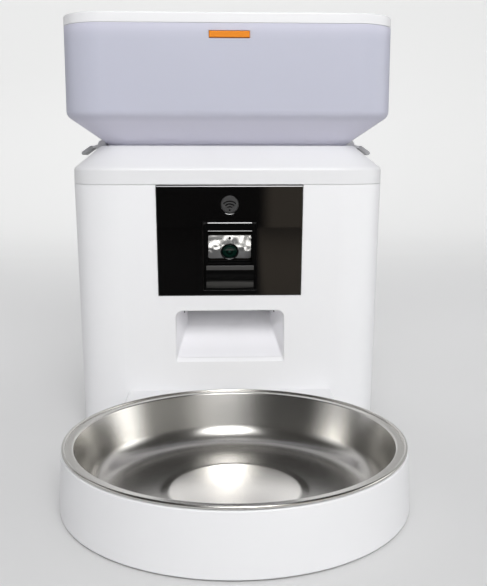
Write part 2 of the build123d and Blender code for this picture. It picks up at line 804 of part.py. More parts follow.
with BuildPart() as rotor_well:
    prism(deck_w, deck_d - 2 * wall - 2 * fit, inner_r - fit, deck_z, deck_top_z, deck_y)
    block(-bezel_w / 2 - 2, bezel_w / 2 + 2, face_y, rotor_y - well_r - well_wall - 0.6,
          deck_z - 1, deck_top_z + 1, mode=Mode.SUBTRACT)
    rod(0, rotor_y, deck_z, well_r + well_wall, well_top_z)
    rod(0, rotor_y, deck_top_z, well_r, well_top_z, mode=Mode.SUBTRACT)
    with BuildSketch(level(deck_z)) as port:
        with Locations((0, rotor_y)):
            Circle(rotor_r + 0.5)
            Circle(rotor_hub_r + 3.0, mode=Mode.SUBTRACT)
        half_angle = math.radians(port_angle / 2)
        reach = 2 * rotor_r
        with BuildLine():
            Polyline(
                (0, rotor_y), (reach * math.sin(half_angle), rotor_y - reach * math.cos(half_angle)),
                (-reach * math.sin(half_angle), rotor_y - reach * math.cos(half_angle)),
                close=True,
            )
        make_face(mode=Mode.INTERSECT)
    extrude(port.sketch, amount=deck_t, mode=Mode.SUBTRACT)
    rod(0, rotor_y, deck_z, shaft_r + run_fit, deck_top_z, mode=Mode.SUBTRACT)
    for x, y in corners():
        rod(x, y, deck_z, 1.9, deck_top_z, mode=Mode.SUBTRACT)
    for x, y in gearbox_legs:
        rod(x, y, box_top_z, 3.6, deck_z)
        rod(x, y, box_top_z, 1.25, deck_z - 2, mode=Mode.SUBTRACT)
write(rotor_well, "rotor_well")

# Guard over the port, so that kibble only falls from a pocket that the wheel has carried round.
with BuildPart() as port_guard:
    with BuildSketch(level(guard_z)) as roof:
        with Locations((0, rotor_y)):
            Circle(well_r - seat)
            Circle(rotor_hub_r + 1.0, mode=Mode.SUBTRACT)
        half_angle = math.radians(guard_angle / 2)
        with BuildLine():
            Polyline(
                (0, rotor_y), (reach * math.sin(half_angle), rotor_y - reach * math.cos(half_angle)),
                (-reach * math.sin(half_angle), rotor_y - reach * math.cos(half_angle)),
                close=True,
            )
        make_face(mode=Mode.INTERSECT)
    extrude(roof.sketch, amount=guard_t)
write(port_guard, "port_guard")

# Dispensing wheel: a hub on the shaft's hexagon and six flexible-edged vanes.
rotor_top_z = rotor_z + rotor_h
with BuildPart() as rotor_wheel:
    rod(0, rotor_y, rotor_z, rotor_hub_r, rotor_top_z)
    with BuildSketch(level(rotor_z)) as vanes:
        with Locations((0, rotor_y)):
            with PolarLocations((rotor_r + rotor_hub_r - 1) / 2, vane_count, start_angle=30):
                Rectangle(rotor_r - rotor_hub_r + 1, vane_t)
    extrude(vanes.sketch, amount=rotor_h)
    with BuildSketch(level(rotor_z)) as bore:
        with Locations((0, rotor_y)):
            RegularPolygon(hub_key / 2 + seat, 6, major_radius=False)
    extrude(bore.sketch, amount=rotor_h, mode=Mode.SUBTRACT)
write(rotor_wheel, "rotor_wheel")

# Stirrer on top of the wheel: a cone with two arms that keep the kibble from bridging.
with BuildPart() as stirrer:
    with BuildSketch(Plane.YZ) as cone:
        with BuildLine():
            Polyline(
                (rotor_y, rotor_top_z), (rotor_y + rotor_hub_r - 1, rotor_top_z),
                (rotor_y + stirrer_nose_r, stirrer_z + stirrer_nose),
                (rotor_y, stirrer_z + stirrer_tip), close=True,
            )
        make_face()
    revolve(cone.sketch, axis=Axis((0, rotor_y, 0), (0, 0, 1)))
    cross_rod(rotor_y, stirrer_z + 3, 2.4, -stirrer_reach, stirrer_reach)
write(stirrer, "stirrer")

with BuildPart() as drive_shaft:
    rod(0, rotor_y, box_base_z + 0.6, shaft_r, deck_top_z)
    with BuildSketch(level(deck_top_z)) as key:
        with Locations((0, rotor_y)):
            RegularPolygon(hub_key / 2, 6, major_radius=False)
    extrude(key.sketch, amount=rotor_h - 4)
write(drive_shaft, "drive_shaft")


def gear_outline(teeth):
    """Points of an involute gear whose flanks are short chords."""
    pitch_r = gear_module * teeth / 2
    base_r = pitch_r * math.cos(math.radians(20))
    tip_r = pitch_r + 0.85 * gear_module
    root_r = pitch_r - 1.2 * gear_module
    roll = math.tan(math.radians(20)) - math.radians(20)
    half = math.pi / (2 * teeth) - backlash / (2 * pitch_r) + roll
    points = []
    for tooth in range(teeth):
        middle = 2 * math.pi * tooth / teeth
        flank = [(root_r, half)]
        for k in range(5):
            r = max(root_r + 0.1, base_r) + (tip_r - max(root_r + 0.1, base_r)) * k / 4
            angle = math.acos(min(1.0, base_r / r))
            flank.append((r, half - math.tan(angle) + angle))
        for r, offset in flank:
            points.append((r * math.cos(middle - offset), r * math.sin(middle - offset)))
        for r, offset in reversed(flank):
            points.append((r * math.cos(middle + offset), r * math.sin(middle + offset)))
    return points


def gear(x, y, teeth, bore_r):
    """A spur gear at (x, y) with a round bore, from gear_z up."""
    with BuildSketch(level(gear_z)) as outline:
        with BuildLine():
            Polyline(*[(x + px, y + py) for px, py in gear_outline(teeth)], close=True)
        make_face()
        with Locations((x, y)):
            Circle(bore_r, mode=Mode.SUBTRACT)
    extrude(outline.sketch, amount=gear_t)


with BuildPart() as drive_gear:
    gear(0, rotor_y, gear_teeth, shaft_r + pin_fit)
    rod(0, rotor_y, box_base_z + box_wall + 0.4, 5.2, box_top_z - box_wall - 0.4)
    rod(0, rotor_y, box_base_z, shaft_r + pin_fit, box_top_z, mode=Mode.SUBTRACT)
write(drive_gear, "drive_gear")

with BuildPart() as motor_pinion:
    gear(0, pinion_y, pinion_teeth, motor_shaft_r + pin_fit)
write(motor_pinion, "motor_pinion")

with BuildPart() as motor_shaft:
    rod(0, pinion_y, box_base_z - 4, motor_shaft_r, gear_z + gear_t + 0.6)
write(motor_shaft, "motor_shaft")

# Gearbox tub, its cover plate on the deck's four bosses, and the motor hanging below.
tub_w = 2 * (gear_r + gear_module + 1.0 + box_wall)
tub_from = rotor_y - tub_w / 2
tub_to = pinion_y + pinion_r + gear_module + 1.0 + box_wall
tub_y = (tub_from + tub_to) / 2
tub_top = box_top_z - box_wall
with BuildPart() as gearbox_tub:
    prism(tub_w, tub_to - tub_from, 10, box_base_z, tub_top, tub_y)
    prism(tub_w - 2 * box_wall, tub_to - tub_from - 2 * box_wall, 8,
          box_base_z + box_wall, tub_top, tub_y, mode=Mode.SUBTRACT)
    rod(0, rotor_y, box_base_z, shaft_r + run_fit, tub_top, mode=Mode.SUBTRACT)
    rod(0, pinion_y, box_base_z, 3.2, tub_top, mode=Mode.SUBTRACT)
write(gearbox_tub, "gearbox_tub")

with BuildPart() as gearbox_cover:
    ear_w = 2 * (gearbox_legs[-1][0] + box_ear)
    plate_from = gearbox_legs[0][1] - box_ear
    plate_to = gearbox_legs[1][1] + box_ear
    prism(ear_w, plate_to - plate_from, 4, tub_top, box_top_z, (plate_from + plate_to) / 2)
    prism(tub_w, tub_to - tub_from, 10, tub_top, box_top_z, tub_y)
    rod(0, rotor_y, tub_top, shaft_r + run_fit, box_top_z, mode=Mode.SUBTRACT)
    for x, y in gearbox_legs:
        rod(x, y, tub_top, 1.3, box_top_z, mode=Mode.SUBTRACT)
write(gearbox_cover, "gearbox_cover")

with BuildPart() as motor:
    rod(0, pinion_y, box_base_z - motor_h, motor_r, box_base_z)
    motor_edges = motor.edges().filter_by(GeomType.CIRCLE)
    chamfer(motor_edges.group_by(Axis.Z)[0], 1.2)
    rod(0, pinion_y, box_base_z - motor_h - 1.6, 4.0, box_base_z - motor_h)
    for x in (-7.0, 7.0):
        block(x - 1.4, x + 1.4, pinion_y - 0.3, pinion_y + 0.3,
              box_base_z - motor_h - 5, box_base_z - motor_h)
    rod(0, pinion_y, box_base_z - 4, motor_shaft_r + run_fit, box_base_z, mode=Mode.SUBTRACT)
write(motor, "motor")

# ------------------------------------------------------------------ chute
# Smooth moulded passage from the port in the deck to the outlet in the front wall.

sensor_y = face_y + sensor_set
sensor_x = outlet_w / 2 + (throat_w - outlet_w) / 2 * sensor_set / throat_set

with BuildPart() as chute:
    outlet_mouth(wall, chute_wall)
    side_profile(drop_points(chute_wall, deck_z), -throat_w / 2 - chute_wall,
                 throat_w / 2 + chute_wall)
    outlet_mouth(wall - 1, mode=Mode.SUBTRACT)
    side_profile(drop_points(0, deck_z + 1), -throat_w / 2, throat_w / 2, mode=Mode.SUBTRACT)
    cross_rod(sensor_y, sensor_z, sensor_r + seat, -outlet_w, outlet_w, mode=Mode.SUBTRACT)
write(chute, "chute")

# Infrared pair that looks across the outlet.
with BuildPart() as outlet_sensors:
    for side in (-1, 1):
        near = sensor_x - 0.2
        far = sensor_x + 6.0
        cross_rod(sensor_y, sensor_z, sensor_r, min(side * near, side * far),
                  max(side * near, side * far))
write(outlet_sensors, "outlet_sensors")

# ------------------------------------------------------------------ electrics

with BuildPart() as main_board:
    block(board_x - board_w / 2, board_x + board_w / 2, board_y, board_y + board_t,
          board_z - board_h / 2, board_z + board_h / 2)
    for x, z, w, h, t in (
        (-30, 12, 20, 14, 2.6), (-2, 4, 12, 12, 1.2), (16, -14, 8, 6, 1.4), (38, 14, 14, 6, 6.0),
        (38, -16, 10, 6, 6.0), (-34, -18, 12, 6, 6.0),
    ):
        block(board_x + x - w / 2, board_x + x + w / 2, board_y - t, board_y,
              board_z + z - h / 2, board_z + z + h / 2)
    for x, z in ((18, 8), (27, -6)):
        deep_rod(board_x + x, board_z + z, 3.6, board_y - 9, board_y)
    for x, z in board_legs:
        deep_rod(x, z, 1.4, board_y, board_y + board_t, mode=Mode.SUBTRACT)
write(main_board, "main_board")

with BuildPart() as speaker:
    speaker_back = back_y - wall - speaker_set
    deep_rod(speaker_x, speaker_z, speaker_r, speaker_back - 2.4, speaker_back)
    deep_rod(speaker_x, speaker_z, speaker_r - 3.2, speaker_back - 5.4, speaker_back - 2.4)
    deep_rod(speaker_x, speaker_z, speaker_r - 7.0, speaker_back - speaker_h, speaker_back - 5.4)
write(speaker, "speaker")

with BuildPart() as power_socket:
    socket_back = back_y - wall - 3.1
    block(-5.5, 5.5, socket_back - 11, socket_back, jack_z - 5, jack_z + 5)
    deep_rod(0, jack_z, jack_r + 0.7, socket_back, socket_back + 2.8)
    deep_rod(0, jack_z, jack_r - 0.45, socket_back - 7, socket_back + 2.8, mode=Mode.SUBTRACT)
    deep_rod(0, jack_z, 0.95, socket_back - 7, socket_back + 1.6)
write(power_socket, "power_socket")

# ------------------------------------------------------------------ screws


def screw(x, y, z, up, length, r, head_r, head_t):
    """An upright screw with its head's seat at z; up is 1 where its thread points up."""
    rod(x, y, min(z, z + up * length), r, max(z, z + up * length))
    rod(x, y, min(z, z - up * head_t), head_r, max(z, z - up * head_t))


with BuildPart() as case_screws:
    for x, y in corners():
        screw(x, y, deck_top_z, -1, case_screw, 1.5, 3.0, 1.3)
        screw(x, y, floor_gap + 1.4, 1, case_screw, 1.5, 3.0, 1.3)
write(case_screws, "case_screws")

with BuildPart() as gearbox_screws:
    for x, y in gearbox_legs:
        screw(x, y, tub_top, 1, box_screw, 1.15, 2.2, 1.2)
write(gearbox_screws, "gearbox_screws")

with BuildPart() as board_screws:
    for x, z in board_legs:
        deep_rod(x, z, 1.1, board_y, board_y + 7)
        deep_rod(x, z, 2.1, board_y - 1.2, board_y)
    for x in button_legs:
        deep_rod(x, button_z, 1.1, button_board_y - 6, button_board_y)
        deep_rod(x, button_z, 2.1, button_board_y, button_board_y + 1.2)
write(board_screws, "board_screws")

# ------------------------------------------------------------------ hopper
# A translucent bin: an upright wall, a sloped floor down to the neck that drops into the top
# cover, and a funnel whose round spout ends just inside the dispenser's well.

hopper_in_front = hopper_front + hopper_wall
hopper_in_w = hopper_w - 2 * hopper_wall
hopper_in_d = hopper_d - 2 * hopper_wall
hopper_in_r = hopper_r - hopper_wall
lid_key_z = lid_key_top - lid_key_h
key_half = lid_key_w / 2
pocket_half = key_half + 2.0
pocket_d = 14.5

with BuildPart() as hopper:
    tapered(
        (seat_w_x, seat_w_y, hopper_base_r, hopper_base_z, body_y),
        (hopper_w, hopper_d, hopper_r, hopper_knee_z, body_y),
    )
    prism(hopper_w, hopper_d, hopper_r, hopper_knee_z, hopper_rim_z, body_y)
    fillet(hopper.faces().sort_by(Axis.Z)[-1].edges(), 0.6)
    prism(neck_x, neck_y, neck_r, neck_z, hopper_base_z, body_y)
    tapered(
        (2 * spout_r, 2 * spout_r, spout_r - 0.2, spout_top_z, rotor_y),
        (neck_x, neck_y, neck_r, neck_z, body_y),
    )
    rod(0, rotor_y, spout_z, spout_r, spout_top_z)
    # catches for the side latches
    for side in (-1, 1):
        root = side * (neck_x / 2 + fit)
        block(min(root, side * catch_x), max(root, side * catch_x),
              body_y - catch_w / 2, body_y + catch_w / 2, hopper_base_z + fit, catch_top_z)
    # inside
    prism(hopper_in_w, hopper_in_d, hopper_in_r, hopper_knee_z + 1, hopper_rim_z + 1, body_y,
          mode=Mode.SUBTRACT)
    tapered(
        (neck_x - 2 * hopper_wall, neck_y - 2 * hopper_wall, neck_r - hopper_wall,
         hopper_base_z, body_y),
        (hopper_in_w, hopper_in_d, hopper_in_r, hopper_knee_z + 1, body_y),
        mode=Mode.SUBTRACT,
    )
    prism(neck_x - 2 * hopper_wall, neck_y - 2 * hopper_wall, neck_r - hopper_wall,
          neck_z, hopper_base_z, body_y, mode=Mode.SUBTRACT)
    tapered(
        (2 * spout_r - 2 * hopper_wall, 2 * spout_r - 2 * hopper_wall, spout_r - hopper_wall - 0.2,
         spout_top_z, rotor_y),
        (neck_x - 2 * hopper_wall, neck_y - 2 * hopper_wall, neck_r - hopper_wall, neck_z, body_y),
        mode=Mode.SUBTRACT,
    )
    rod(0, rotor_y, spout_z - 1, spout_r - hopper_wall, spout_top_z, mode=Mode.SUBTRACT)
    # pocket and slot for the lid's release key
    block(-pocket_half - 1.6, pocket_half + 1.6, hopper_in_front - 0.5,
          hopper_in_front + pocket_d + 1.6, lid_key_z - 5.4, lid_key_top + seat)
    block(-pocket_half, pocket_half, hopper_in_front, hopper_in_front + pocket_d,
          lid_key_z - 3.8, hopper_rim_z + 1, mode=Mode.SUBTRACT)
    block(-key_half - fit, key_half + fit, hopper_front - 1, hopper_in_front + 1,
          lid_key_z - fit, lid_key_top + fit, mode=Mode.SUBTRACT)
    # hinge lugs
    for x in (-knuckle_x, knuckle_x):
        for side in (-1, 1):
            near = x + side * (knuckle_w / 2 + fit)
            far = near + side * lug_w
            side_profile(
                [
                    (hopper_back - 0.5, hinge_z - 19), (hinge_y + knuckle_r, hinge_z - 9),
                    (hinge_y + knuckle_r, hinge_z), (hinge_y - knuckle_r, hinge_z),
                    (hinge_y - knuckle_r, hopper_rim_z), (hopper_back - 0.5, hopper_rim_z),
                ],
                min(near, far), max(near, far),
            )
            cross_rod(hinge_y, hinge_z, knuckle_r, min(near, far), max(near, far))
            cross_rod(hinge_y, hinge_z, hinge_pin_r + pin_fit, min(near, far), max(near, far),
                      mode=Mode.SUBTRACT)
write(hopper, "hopper")

with BuildPart() as hinge_pins:
    for x in (-knuckle_x, knuckle_x):
        reach = knuckle_w / 2 + fit + lug_w
        cross_rod(hinge_y, hinge_z, hinge_pin_r, x - reach, x + reach)
write(hinge_pins, "hinge_pins")

# Release key: a bar in the front wall, with a frame around the lid's hook and a leaf spring.
key_in = hopper_in_front
with BuildPart() as lid_key:
    block(-key_half, key_half, hopper_front - lid_key_proud, key_in + 0.3,
          lid_key_z, lid_key_top)
    fillet(lid_key.faces().sort_by(Axis.Y)[0].edges(), 0.5)
    block(-key_half - 1.4, key_half + 1.4, key_in + 0.3, key_in + 1.5, lid_key_z, lid_key_top)
    block(-key_half + 0.2, key_half - 0.2, key_in + 1.5, key_in + 11.0, lid_key_z, lid_key_top)
    block(-key_half + 2.6, key_half - 2.6, key_in + 1.5, key_in + 9.4, lid_key_z - 1,
          lid_key_top + 1, mode=Mode.SUBTRACT)
write(lid_key, "lid_key")

with BuildPart() as key_spring:
    block(-8, 8, key_in + pocket_d - 0.5, key_in + pocket_d, lid_key_z - 0.2, lid_key_top - 0.4)
write(key_spring, "key_spring")

# ------------------------------------------------------------------ lid
# A shallow crowned plate with an inner skirt, the hook for the key and two hinge knuckles.

skirt_gap = 0.8
skirt_w = hopper_in_w - 2 * skirt_gap
skirt_d = hopper_in_d - 2 * skirt_gap
skirt_r = hopper_in_r - skirt_gap
lid_under_z = lid_top_z - lid_skin
seal_z = lid_z - 3.4
hook_y = key_in + 5.0

with BuildPart() as lid:
    prism(hopper_w, hopper_d, hopper_r, lid_z, lid_top_z, body_y)
    fillet(lid.faces().sort_by(Axis.Z)[-1].edges(), lid_edge_r)
    tapered(
        (hopper_w - 2 * crown_edge, hopper_d - 2 * crown_edge, hopper_r - crown_edge,
         lid_top_z - 0.2, body_y),
        (hopper_w - 2 * crown_run, hopper_d - 2 * crown_run, crown_r, lid_top_z + lid_crown, body_y),
    )
    prism(skirt_w, skirt_d, skirt_r, lid_z - skirt_h, lid_z, body_y)
    prism(skirt_w - 2 * skirt_t, skirt_d - 2 * skirt_t, skirt_r - skirt_t, lid_z - skirt_h,
          lid_under_z, body_y, mode=Mode.SUBTRACT)
    prism(skirt_w + 2, skirt_d + 2, skirt_r + 1, seal_z, seal_z + seal_h, body_y,
          mode=Mode.SUBTRACT)
    prism(skirt_w - 2 * seal_groove, skirt_d - 2 * seal_groove, skirt_r - seal_groove,
          seal_z, seal_z + seal_h, body_y)
    prism(skirt_w - 2 * skirt_t, skirt_d - 2 * skirt_t, skirt_r - skirt_t, seal_z,
          seal_z + seal_h, body_y, mode=Mode.SUBTRACT)
    # hook
    block(-8, 8, hook_y, hook_y + 2, lid_key_z - 3.2, lid_under_z)
    side_profile(
        [(hook_y + 2, lid_key_z - 3.2), (hook_y + 4, lid_key_z - 0.4), (hook_y + 2, lid_key_z - 0.4)],
        -8, 8,
    )
    # hinge knuckles
    for x in (-knuckle_x, knuckle_x):
        block(x - knuckle_w / 2, x + knuckle_w / 2, hopper_back - 3, hinge_y, lid_z,
              hinge_z + knuckle_r)
        cross_rod(hinge_y, hinge_z, knuckle_r, x - knuckle_w / 2, x + knuckle_w / 2)
        cross_rod(hinge_y, hinge_z, hinge_pin_r + run_fit, x - knuckle_w / 2, x + knuckle_w / 2,
                  mode=Mode.SUBTRACT)
write(lid, "lid")

with BuildPart() as lid_seal:
    proud = 0.45
    prism(skirt_w + 2 * proud, skirt_d + 2 * proud, skirt_r + proud, seal_z + 0.05,
          seal_z + seal_h - 0.05, body_y)
    prism(skirt_w - 2 * seal_groove, skirt_d - 2 * seal_groove, skirt_r - seal_groove,
          seal_z, seal_z + seal_h, body_y, mode=Mode.SUBTRACT)
write(lid_seal, "lid_seal")

# Desiccant holder fixed under the lid, with a slotted floor and the bag inside.
with BuildPart() as desiccant_case:
    case_z = lid_under_z - sachet_h
    rod(0, body_y, case_z, sachet_r, lid_under_z)
    rod(0, body_y, case_z + sachet_wall, sachet_r - sachet_wall, lid_under_z, mode=Mode.SUBTRACT)
    with BuildSketch(level(case_z, body_y)) as slots:
        with GridLocations(0, 7.0, 1, 5):
            SlotOverall(30, 2.4)
    extrude(slots.sketch, amount=sachet_wall, mode=Mode.SUBTRACT)
write(desiccant_case, "desiccant_case")

with BuildPart() as desiccant_bag:
    rod(0, body_y, case_z + sachet_wall + seat, sachet_r - sachet_wall - 2, lid_under_z - 2)
    fillet(desiccant_bag.edges().filter_by(GeomType.CIRCLE), 2)
write(desiccant_bag, "desiccant_bag")

# ------------------------------------------------------------------ tray and bowl
# A round tray with a neck that meets the body; its two tongues slide into slots in the face.

tray_back = face_y - fit
with BuildPart() as tray:
    rows = []
    for r, z in ((tray_base_r, tray_foot), (tray_top_r, tray_h)):
        with BuildSketch(level(z, tray_y)) as ring:
            Circle(r)
        rows.append(ring.sketch)
    loft(rows)
    block(-neck_w / 2, neck_w / 2, tray_y, tray_back, tray_foot, tray_h)
    rows = []
    for r, z in ((tray_base_r - tray_wall, tray_foot + tray_floor), (tray_top_r - tray_wall, tray_h)):
        with BuildSketch(level(z, tray_y)) as ring:
            Circle(r)
        rows.append(ring.sketch)
    loft(rows, mode=Mode.SUBTRACT)
    # the neck is hollow from below
    with BuildSketch(level(tray_foot)) as hollow:
        inner_w = neck_w - 2 * tray_wall
        with Locations((0, tray_back - tray_wall - 30)):
            Rectangle(inner_w, 60)
        with Locations((0, tray_y)):
            Circle(tray_base_r, mode=Mode.SUBTRACT)
    extrude(hollow.sketch, amount=tray_h - tray_foot - tray_wall, mode=Mode.SUBTRACT)
    for x in (-tongue_x, tongue_x):
        block(x - tongue_w / 2, x + tongue_w / 2, tray_back - tray_wall, face_y + tongue_reach,
              tongue_z - tongue_t / 2, tongue_z + tongue_t / 2)
    for x, y in tray_pads:
        rod(x, y, tray_foot, pad_r + seat, tray_foot + 0.6, mode=Mode.SUBTRACT)
write(tray, "tray")

with BuildPart() as tray_feet:
    for x, y in tray_pads:
        rod(x, y, 0, pad_r, tray_foot + pad_recess)
write(tray_feet, "tray_feet")

# Spun steel bowl: flat floor with a raised disc, a steep wall and a flange with a rolled edge.
bowl_z = tray_foot + tray_floor + fit
flange_z = tray_h + fit
disc_foot_r = bowl_disc_r + disc_step
with BuildPart() as bowl:
    with BuildSketch(Plane.YZ) as wall_line:
        with BuildLine():
            Polyline(
                (tray_y, bowl_z + disc_rise), (tray_y + bowl_disc_r, bowl_z + disc_rise),
                (tray_y + disc_foot_r, bowl_z), (tray_y + bowl_floor_r, bowl_z),
                (tray_y + bowl_lip_r, flange_z), (tray_y + bowl_flange_r, flange_z),
                (tray_y + bowl_flange_r, flange_z + bowl_t),
                (tray_y + bowl_lip_r - bowl_t, flange_z + bowl_t),
                (tray_y + bowl_floor_r - bowl_t, bowl_z + bowl_t),
                (tray_y + disc_foot_r, bowl_z + bowl_t),
                (tray_y + bowl_disc_r, bowl_z + disc_rise + bowl_t),
                (tray_y, bowl_z + disc_rise + bowl_t), close=True,
            )
        make_face()
        for r, z, turn in ((bowl_floor_r, bowl_z, bowl_bend_r), (bowl_lip_r, flange_z, bowl_lip_bend_r)):
            near = wall_line.vertices().filter_by_position(Axis.Y, z - 0.1, z + bowl_t + 0.1)
            near = near.filter_by_position(Axis.X, tray_y + r - 2, tray_y + r + 1)
            fillet(near, turn)
    revolve(wall_line.sketch, axis=Axis((0, tray_y, 0), (0, 0, 1)))
    with BuildSketch(Plane.YZ) as bead:
        with Locations((tray_y + bowl_flange_r, flange_z + bowl_bead_r)):
            Circle(bowl_bead_r)
    revolve(bead.sketch, axis=Axis((0, tray_y, 0), (0, 0, 1)))
write(bowl, "bowl")
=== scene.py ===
"""Looks for an automatic pet feeder: hopper and lid, body with a camera panel, tray and bowl.

Metres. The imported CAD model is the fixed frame; visible pieces are made here in the order in
which the feeder is put together, each with its own sizes, mesh, material and body.
"""

import math

import bpy
import numpy as np
from mathutils import Matrix, Vector


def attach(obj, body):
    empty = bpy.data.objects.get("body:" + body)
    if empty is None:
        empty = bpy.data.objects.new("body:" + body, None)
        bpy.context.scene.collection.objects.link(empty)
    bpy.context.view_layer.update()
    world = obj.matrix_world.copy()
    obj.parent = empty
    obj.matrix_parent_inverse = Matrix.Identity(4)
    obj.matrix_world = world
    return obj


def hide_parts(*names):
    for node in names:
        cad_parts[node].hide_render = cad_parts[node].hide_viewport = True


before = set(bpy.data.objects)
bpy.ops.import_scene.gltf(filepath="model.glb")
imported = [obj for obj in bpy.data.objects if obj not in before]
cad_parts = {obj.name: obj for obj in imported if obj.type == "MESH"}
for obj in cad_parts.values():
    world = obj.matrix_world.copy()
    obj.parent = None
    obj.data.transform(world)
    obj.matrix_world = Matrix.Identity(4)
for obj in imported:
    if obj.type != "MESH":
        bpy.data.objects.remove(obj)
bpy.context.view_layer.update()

# ------------------------------------------------------------------ base plate and body shell
# The base plate and the shell are injection-moulded white ABS, screwed together from below.
# The shell's outside is smooth and semi-gloss, its edges broken by the mould.


def moulded(name, colour, rough, grain=0.00002, depth=0.25, mottle=0.02, coat=0.0, edge=0.0):
    """Moulded plastic: its colour drifts by the share mottle in slow clouds, its roughness by a
    tenth, and its skin carries a fine grain. edge rounds hard edges by that radius."""
    mat = bpy.data.materials.new(name)
    mat.use_nodes = True
    nodes, links = mat.node_tree.nodes, mat.node_tree.links
    shader = nodes["Principled BSDF"]
    shader.inputs["IOR"].default_value = 1.5
    shader.inputs["Coat Weight"].default_value = coat
    shader.inputs["Coat Roughness"].default_value = 0.05
    place = nodes.new("ShaderNodeTexCoord")
    cloud = nodes.new("ShaderNodeTexNoise")
    cloud.inputs["Scale"].default_value = 14.0
    cloud.inputs["Detail"].default_value = 3.0
    tint = nodes.new("ShaderNodeMix")
    tint.data_type = "RGBA"
    tint.inputs["A"].default_value = (*[c * (1 - mottle) for c in colour], 1)
    tint.inputs["B"].default_value = (*[min(1.0, c * (1 + mottle)) for c in colour], 1)
    links.new(place.outputs["Object"], cloud.inputs["Vector"])
    links.new(cloud.outputs["Fac"], tint.inputs["Factor"])
    links.new(tint.outputs["Result"], shader.inputs["Base Color"])
    wear = nodes.new("ShaderNodeMapRange")
    wear.inputs["To Min"].default_value = rough * 0.9
    wear.inputs["To Max"].default_value = rough * 1.1
    links.new(cloud.outputs["Fac"], wear.inputs["Value"])
    links.new(wear.outputs["Result"], shader.inputs["Roughness"])
    skin = nodes.new("ShaderNodeTexNoise")
    skin.inputs["Scale"].default_value = 1200.0
    skin.inputs["Detail"].default_value = 2.0
    bump = nodes.new("ShaderNodeBump")
    bump.inputs["Strength"].default_value = depth
    bump.inputs["Distance"].default_value = grain
    links.new(place.outputs["Object"], skin.inputs["Vector"])
    links.new(skin.outputs["Fac"], bump.inputs["Height"])
    if edge:
        soft = nodes.new("ShaderNodeBevel")
        soft.samples = 4
        soft.inputs["Radius"].default_value = edge
        links.new(soft.outputs["Normal"], bump.inputs["Normal"])
    links.new(bump.outputs["Normal"], shader.inputs["Normal"])
    return mat


def finish_nodes(mat, *names):
    """Gives a material to CAD nodes that keep their own shape."""
    for name in names:
        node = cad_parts[name]
        node.data.materials.clear()
        node.data.materials.append(mat)


shell_white = moulded("shell_white", (0.86, 0.86, 0.872), 0.34, edge=0.0006)
finish_nodes(shell_white, "body_shell", "base_plate", "battery_cover")

# ------------------------------------------------------------------ feet
# Grey rubber discs pressed into the base plate and under the tray.

foot_rubber = moulded("foot_rubber", (0.10, 0.10, 0.10), 0.75, grain=0.00006, mottle=0.1)
finish_nodes(foot_rubber, "body_feet", "tray_feet")

# ------------------------------------------------------------------ works inside the body
# Deck and well, chute, gearbox, wheel and stirrer, each in its own moulding; steel screws, pins
# and contacts; a green circuit board, a speaker and a power socket on the back wall. The chute
# is painted paler toward its top: painted light that lifts the shade inside its mouth.


def place_of(tree, kind="Object"):
    """The sockets of a point's place in the feeder's frame, in metres: whole, then X, Y and Z.
    In the world, Generated gives the direction in the same way."""
    place = tree.nodes.new("ShaderNodeTexCoord").outputs[kind]
    split = tree.nodes.new("ShaderNodeSeparateXYZ")
    tree.links.new(place, split.inputs["Vector"])
    return place, *split.outputs


def paler(mat, share, colour):
    """Mixes another colour into a moulding's own by the share that a socket gives; returns the
    mixed colour's socket."""
    nodes, links = mat.node_tree.nodes, mat.node_tree.links
    base = nodes["Principled BSDF"].inputs["Base Color"]
    mix = nodes.new("ShaderNodeMix")
    mix.data_type = "RGBA"
    mix.inputs["B"].default_value = (*colour, 1)
    links.new(base.links[0].from_socket, mix.inputs["A"])
    links.new(share, mix.inputs["Factor"])
    links.new(mix.outputs["Result"], base)
    return mix.outputs["Result"]


works_white = moulded("works_white", (0.80, 0.80, 0.81), 0.42)
chute_white = moulded("chute_white", (0.80, 0.795, 0.82), 0.36)
# Painted light: between these heights the chute's colour turns paler, lifting the shade in its upper mouth.
painted_light_from, painted_light_to = 0.060, 0.076
painted_light_share = chute_white.node_tree.nodes.new("ShaderNodeMapRange")
painted_light_share.inputs["From Min"].default_value = painted_light_from
painted_light_share.inputs["From Max"].default_value = painted_light_to
chute_white.node_tree.links.new(place_of(chute_white.node_tree)[3], painted_light_share.inputs["Value"])
paler(chute_white, painted_light_share.outputs["Result"], (0.97, 0.965, 0.99))
wheel_grey = moulded("wheel_grey", (0.55, 0.56, 0.58), 0.45)
gear_nylon = moulded("gear_nylon", (0.72, 0.70, 0.64), 0.5)
box_grey = moulded("box_grey", (0.16, 0.16, 0.17), 0.5)
stirrer_grey = moulded("stirrer_grey", (0.30, 0.31, 0.33), 0.6)
board_green = moulded("board_green", (0.02, 0.16, 0.06), 0.4, mottle=0.2)
part_black = moulded("part_black", (0.02, 0.02, 0.02), 0.45, mottle=0.15)
sensor_black = moulded("sensor_black", (0.03, 0.02, 0.025), 0.15)
finish_nodes(works_white, "rotor_well", "port_guard")
finish_nodes(chute_white, "chute")
finish_nodes(wheel_grey, "rotor_wheel")
finish_nodes(gear_nylon, "drive_gear")
finish_nodes(box_grey, "gearbox_tub", "gearbox_cover")
finish_nodes(stirrer_grey, "stirrer")
finish_nodes(board_green, "main_board", "button_board")
finish_nodes(part_black, "speaker", "power_socket")
finish_nodes(sensor_black, "outlet_sensors")


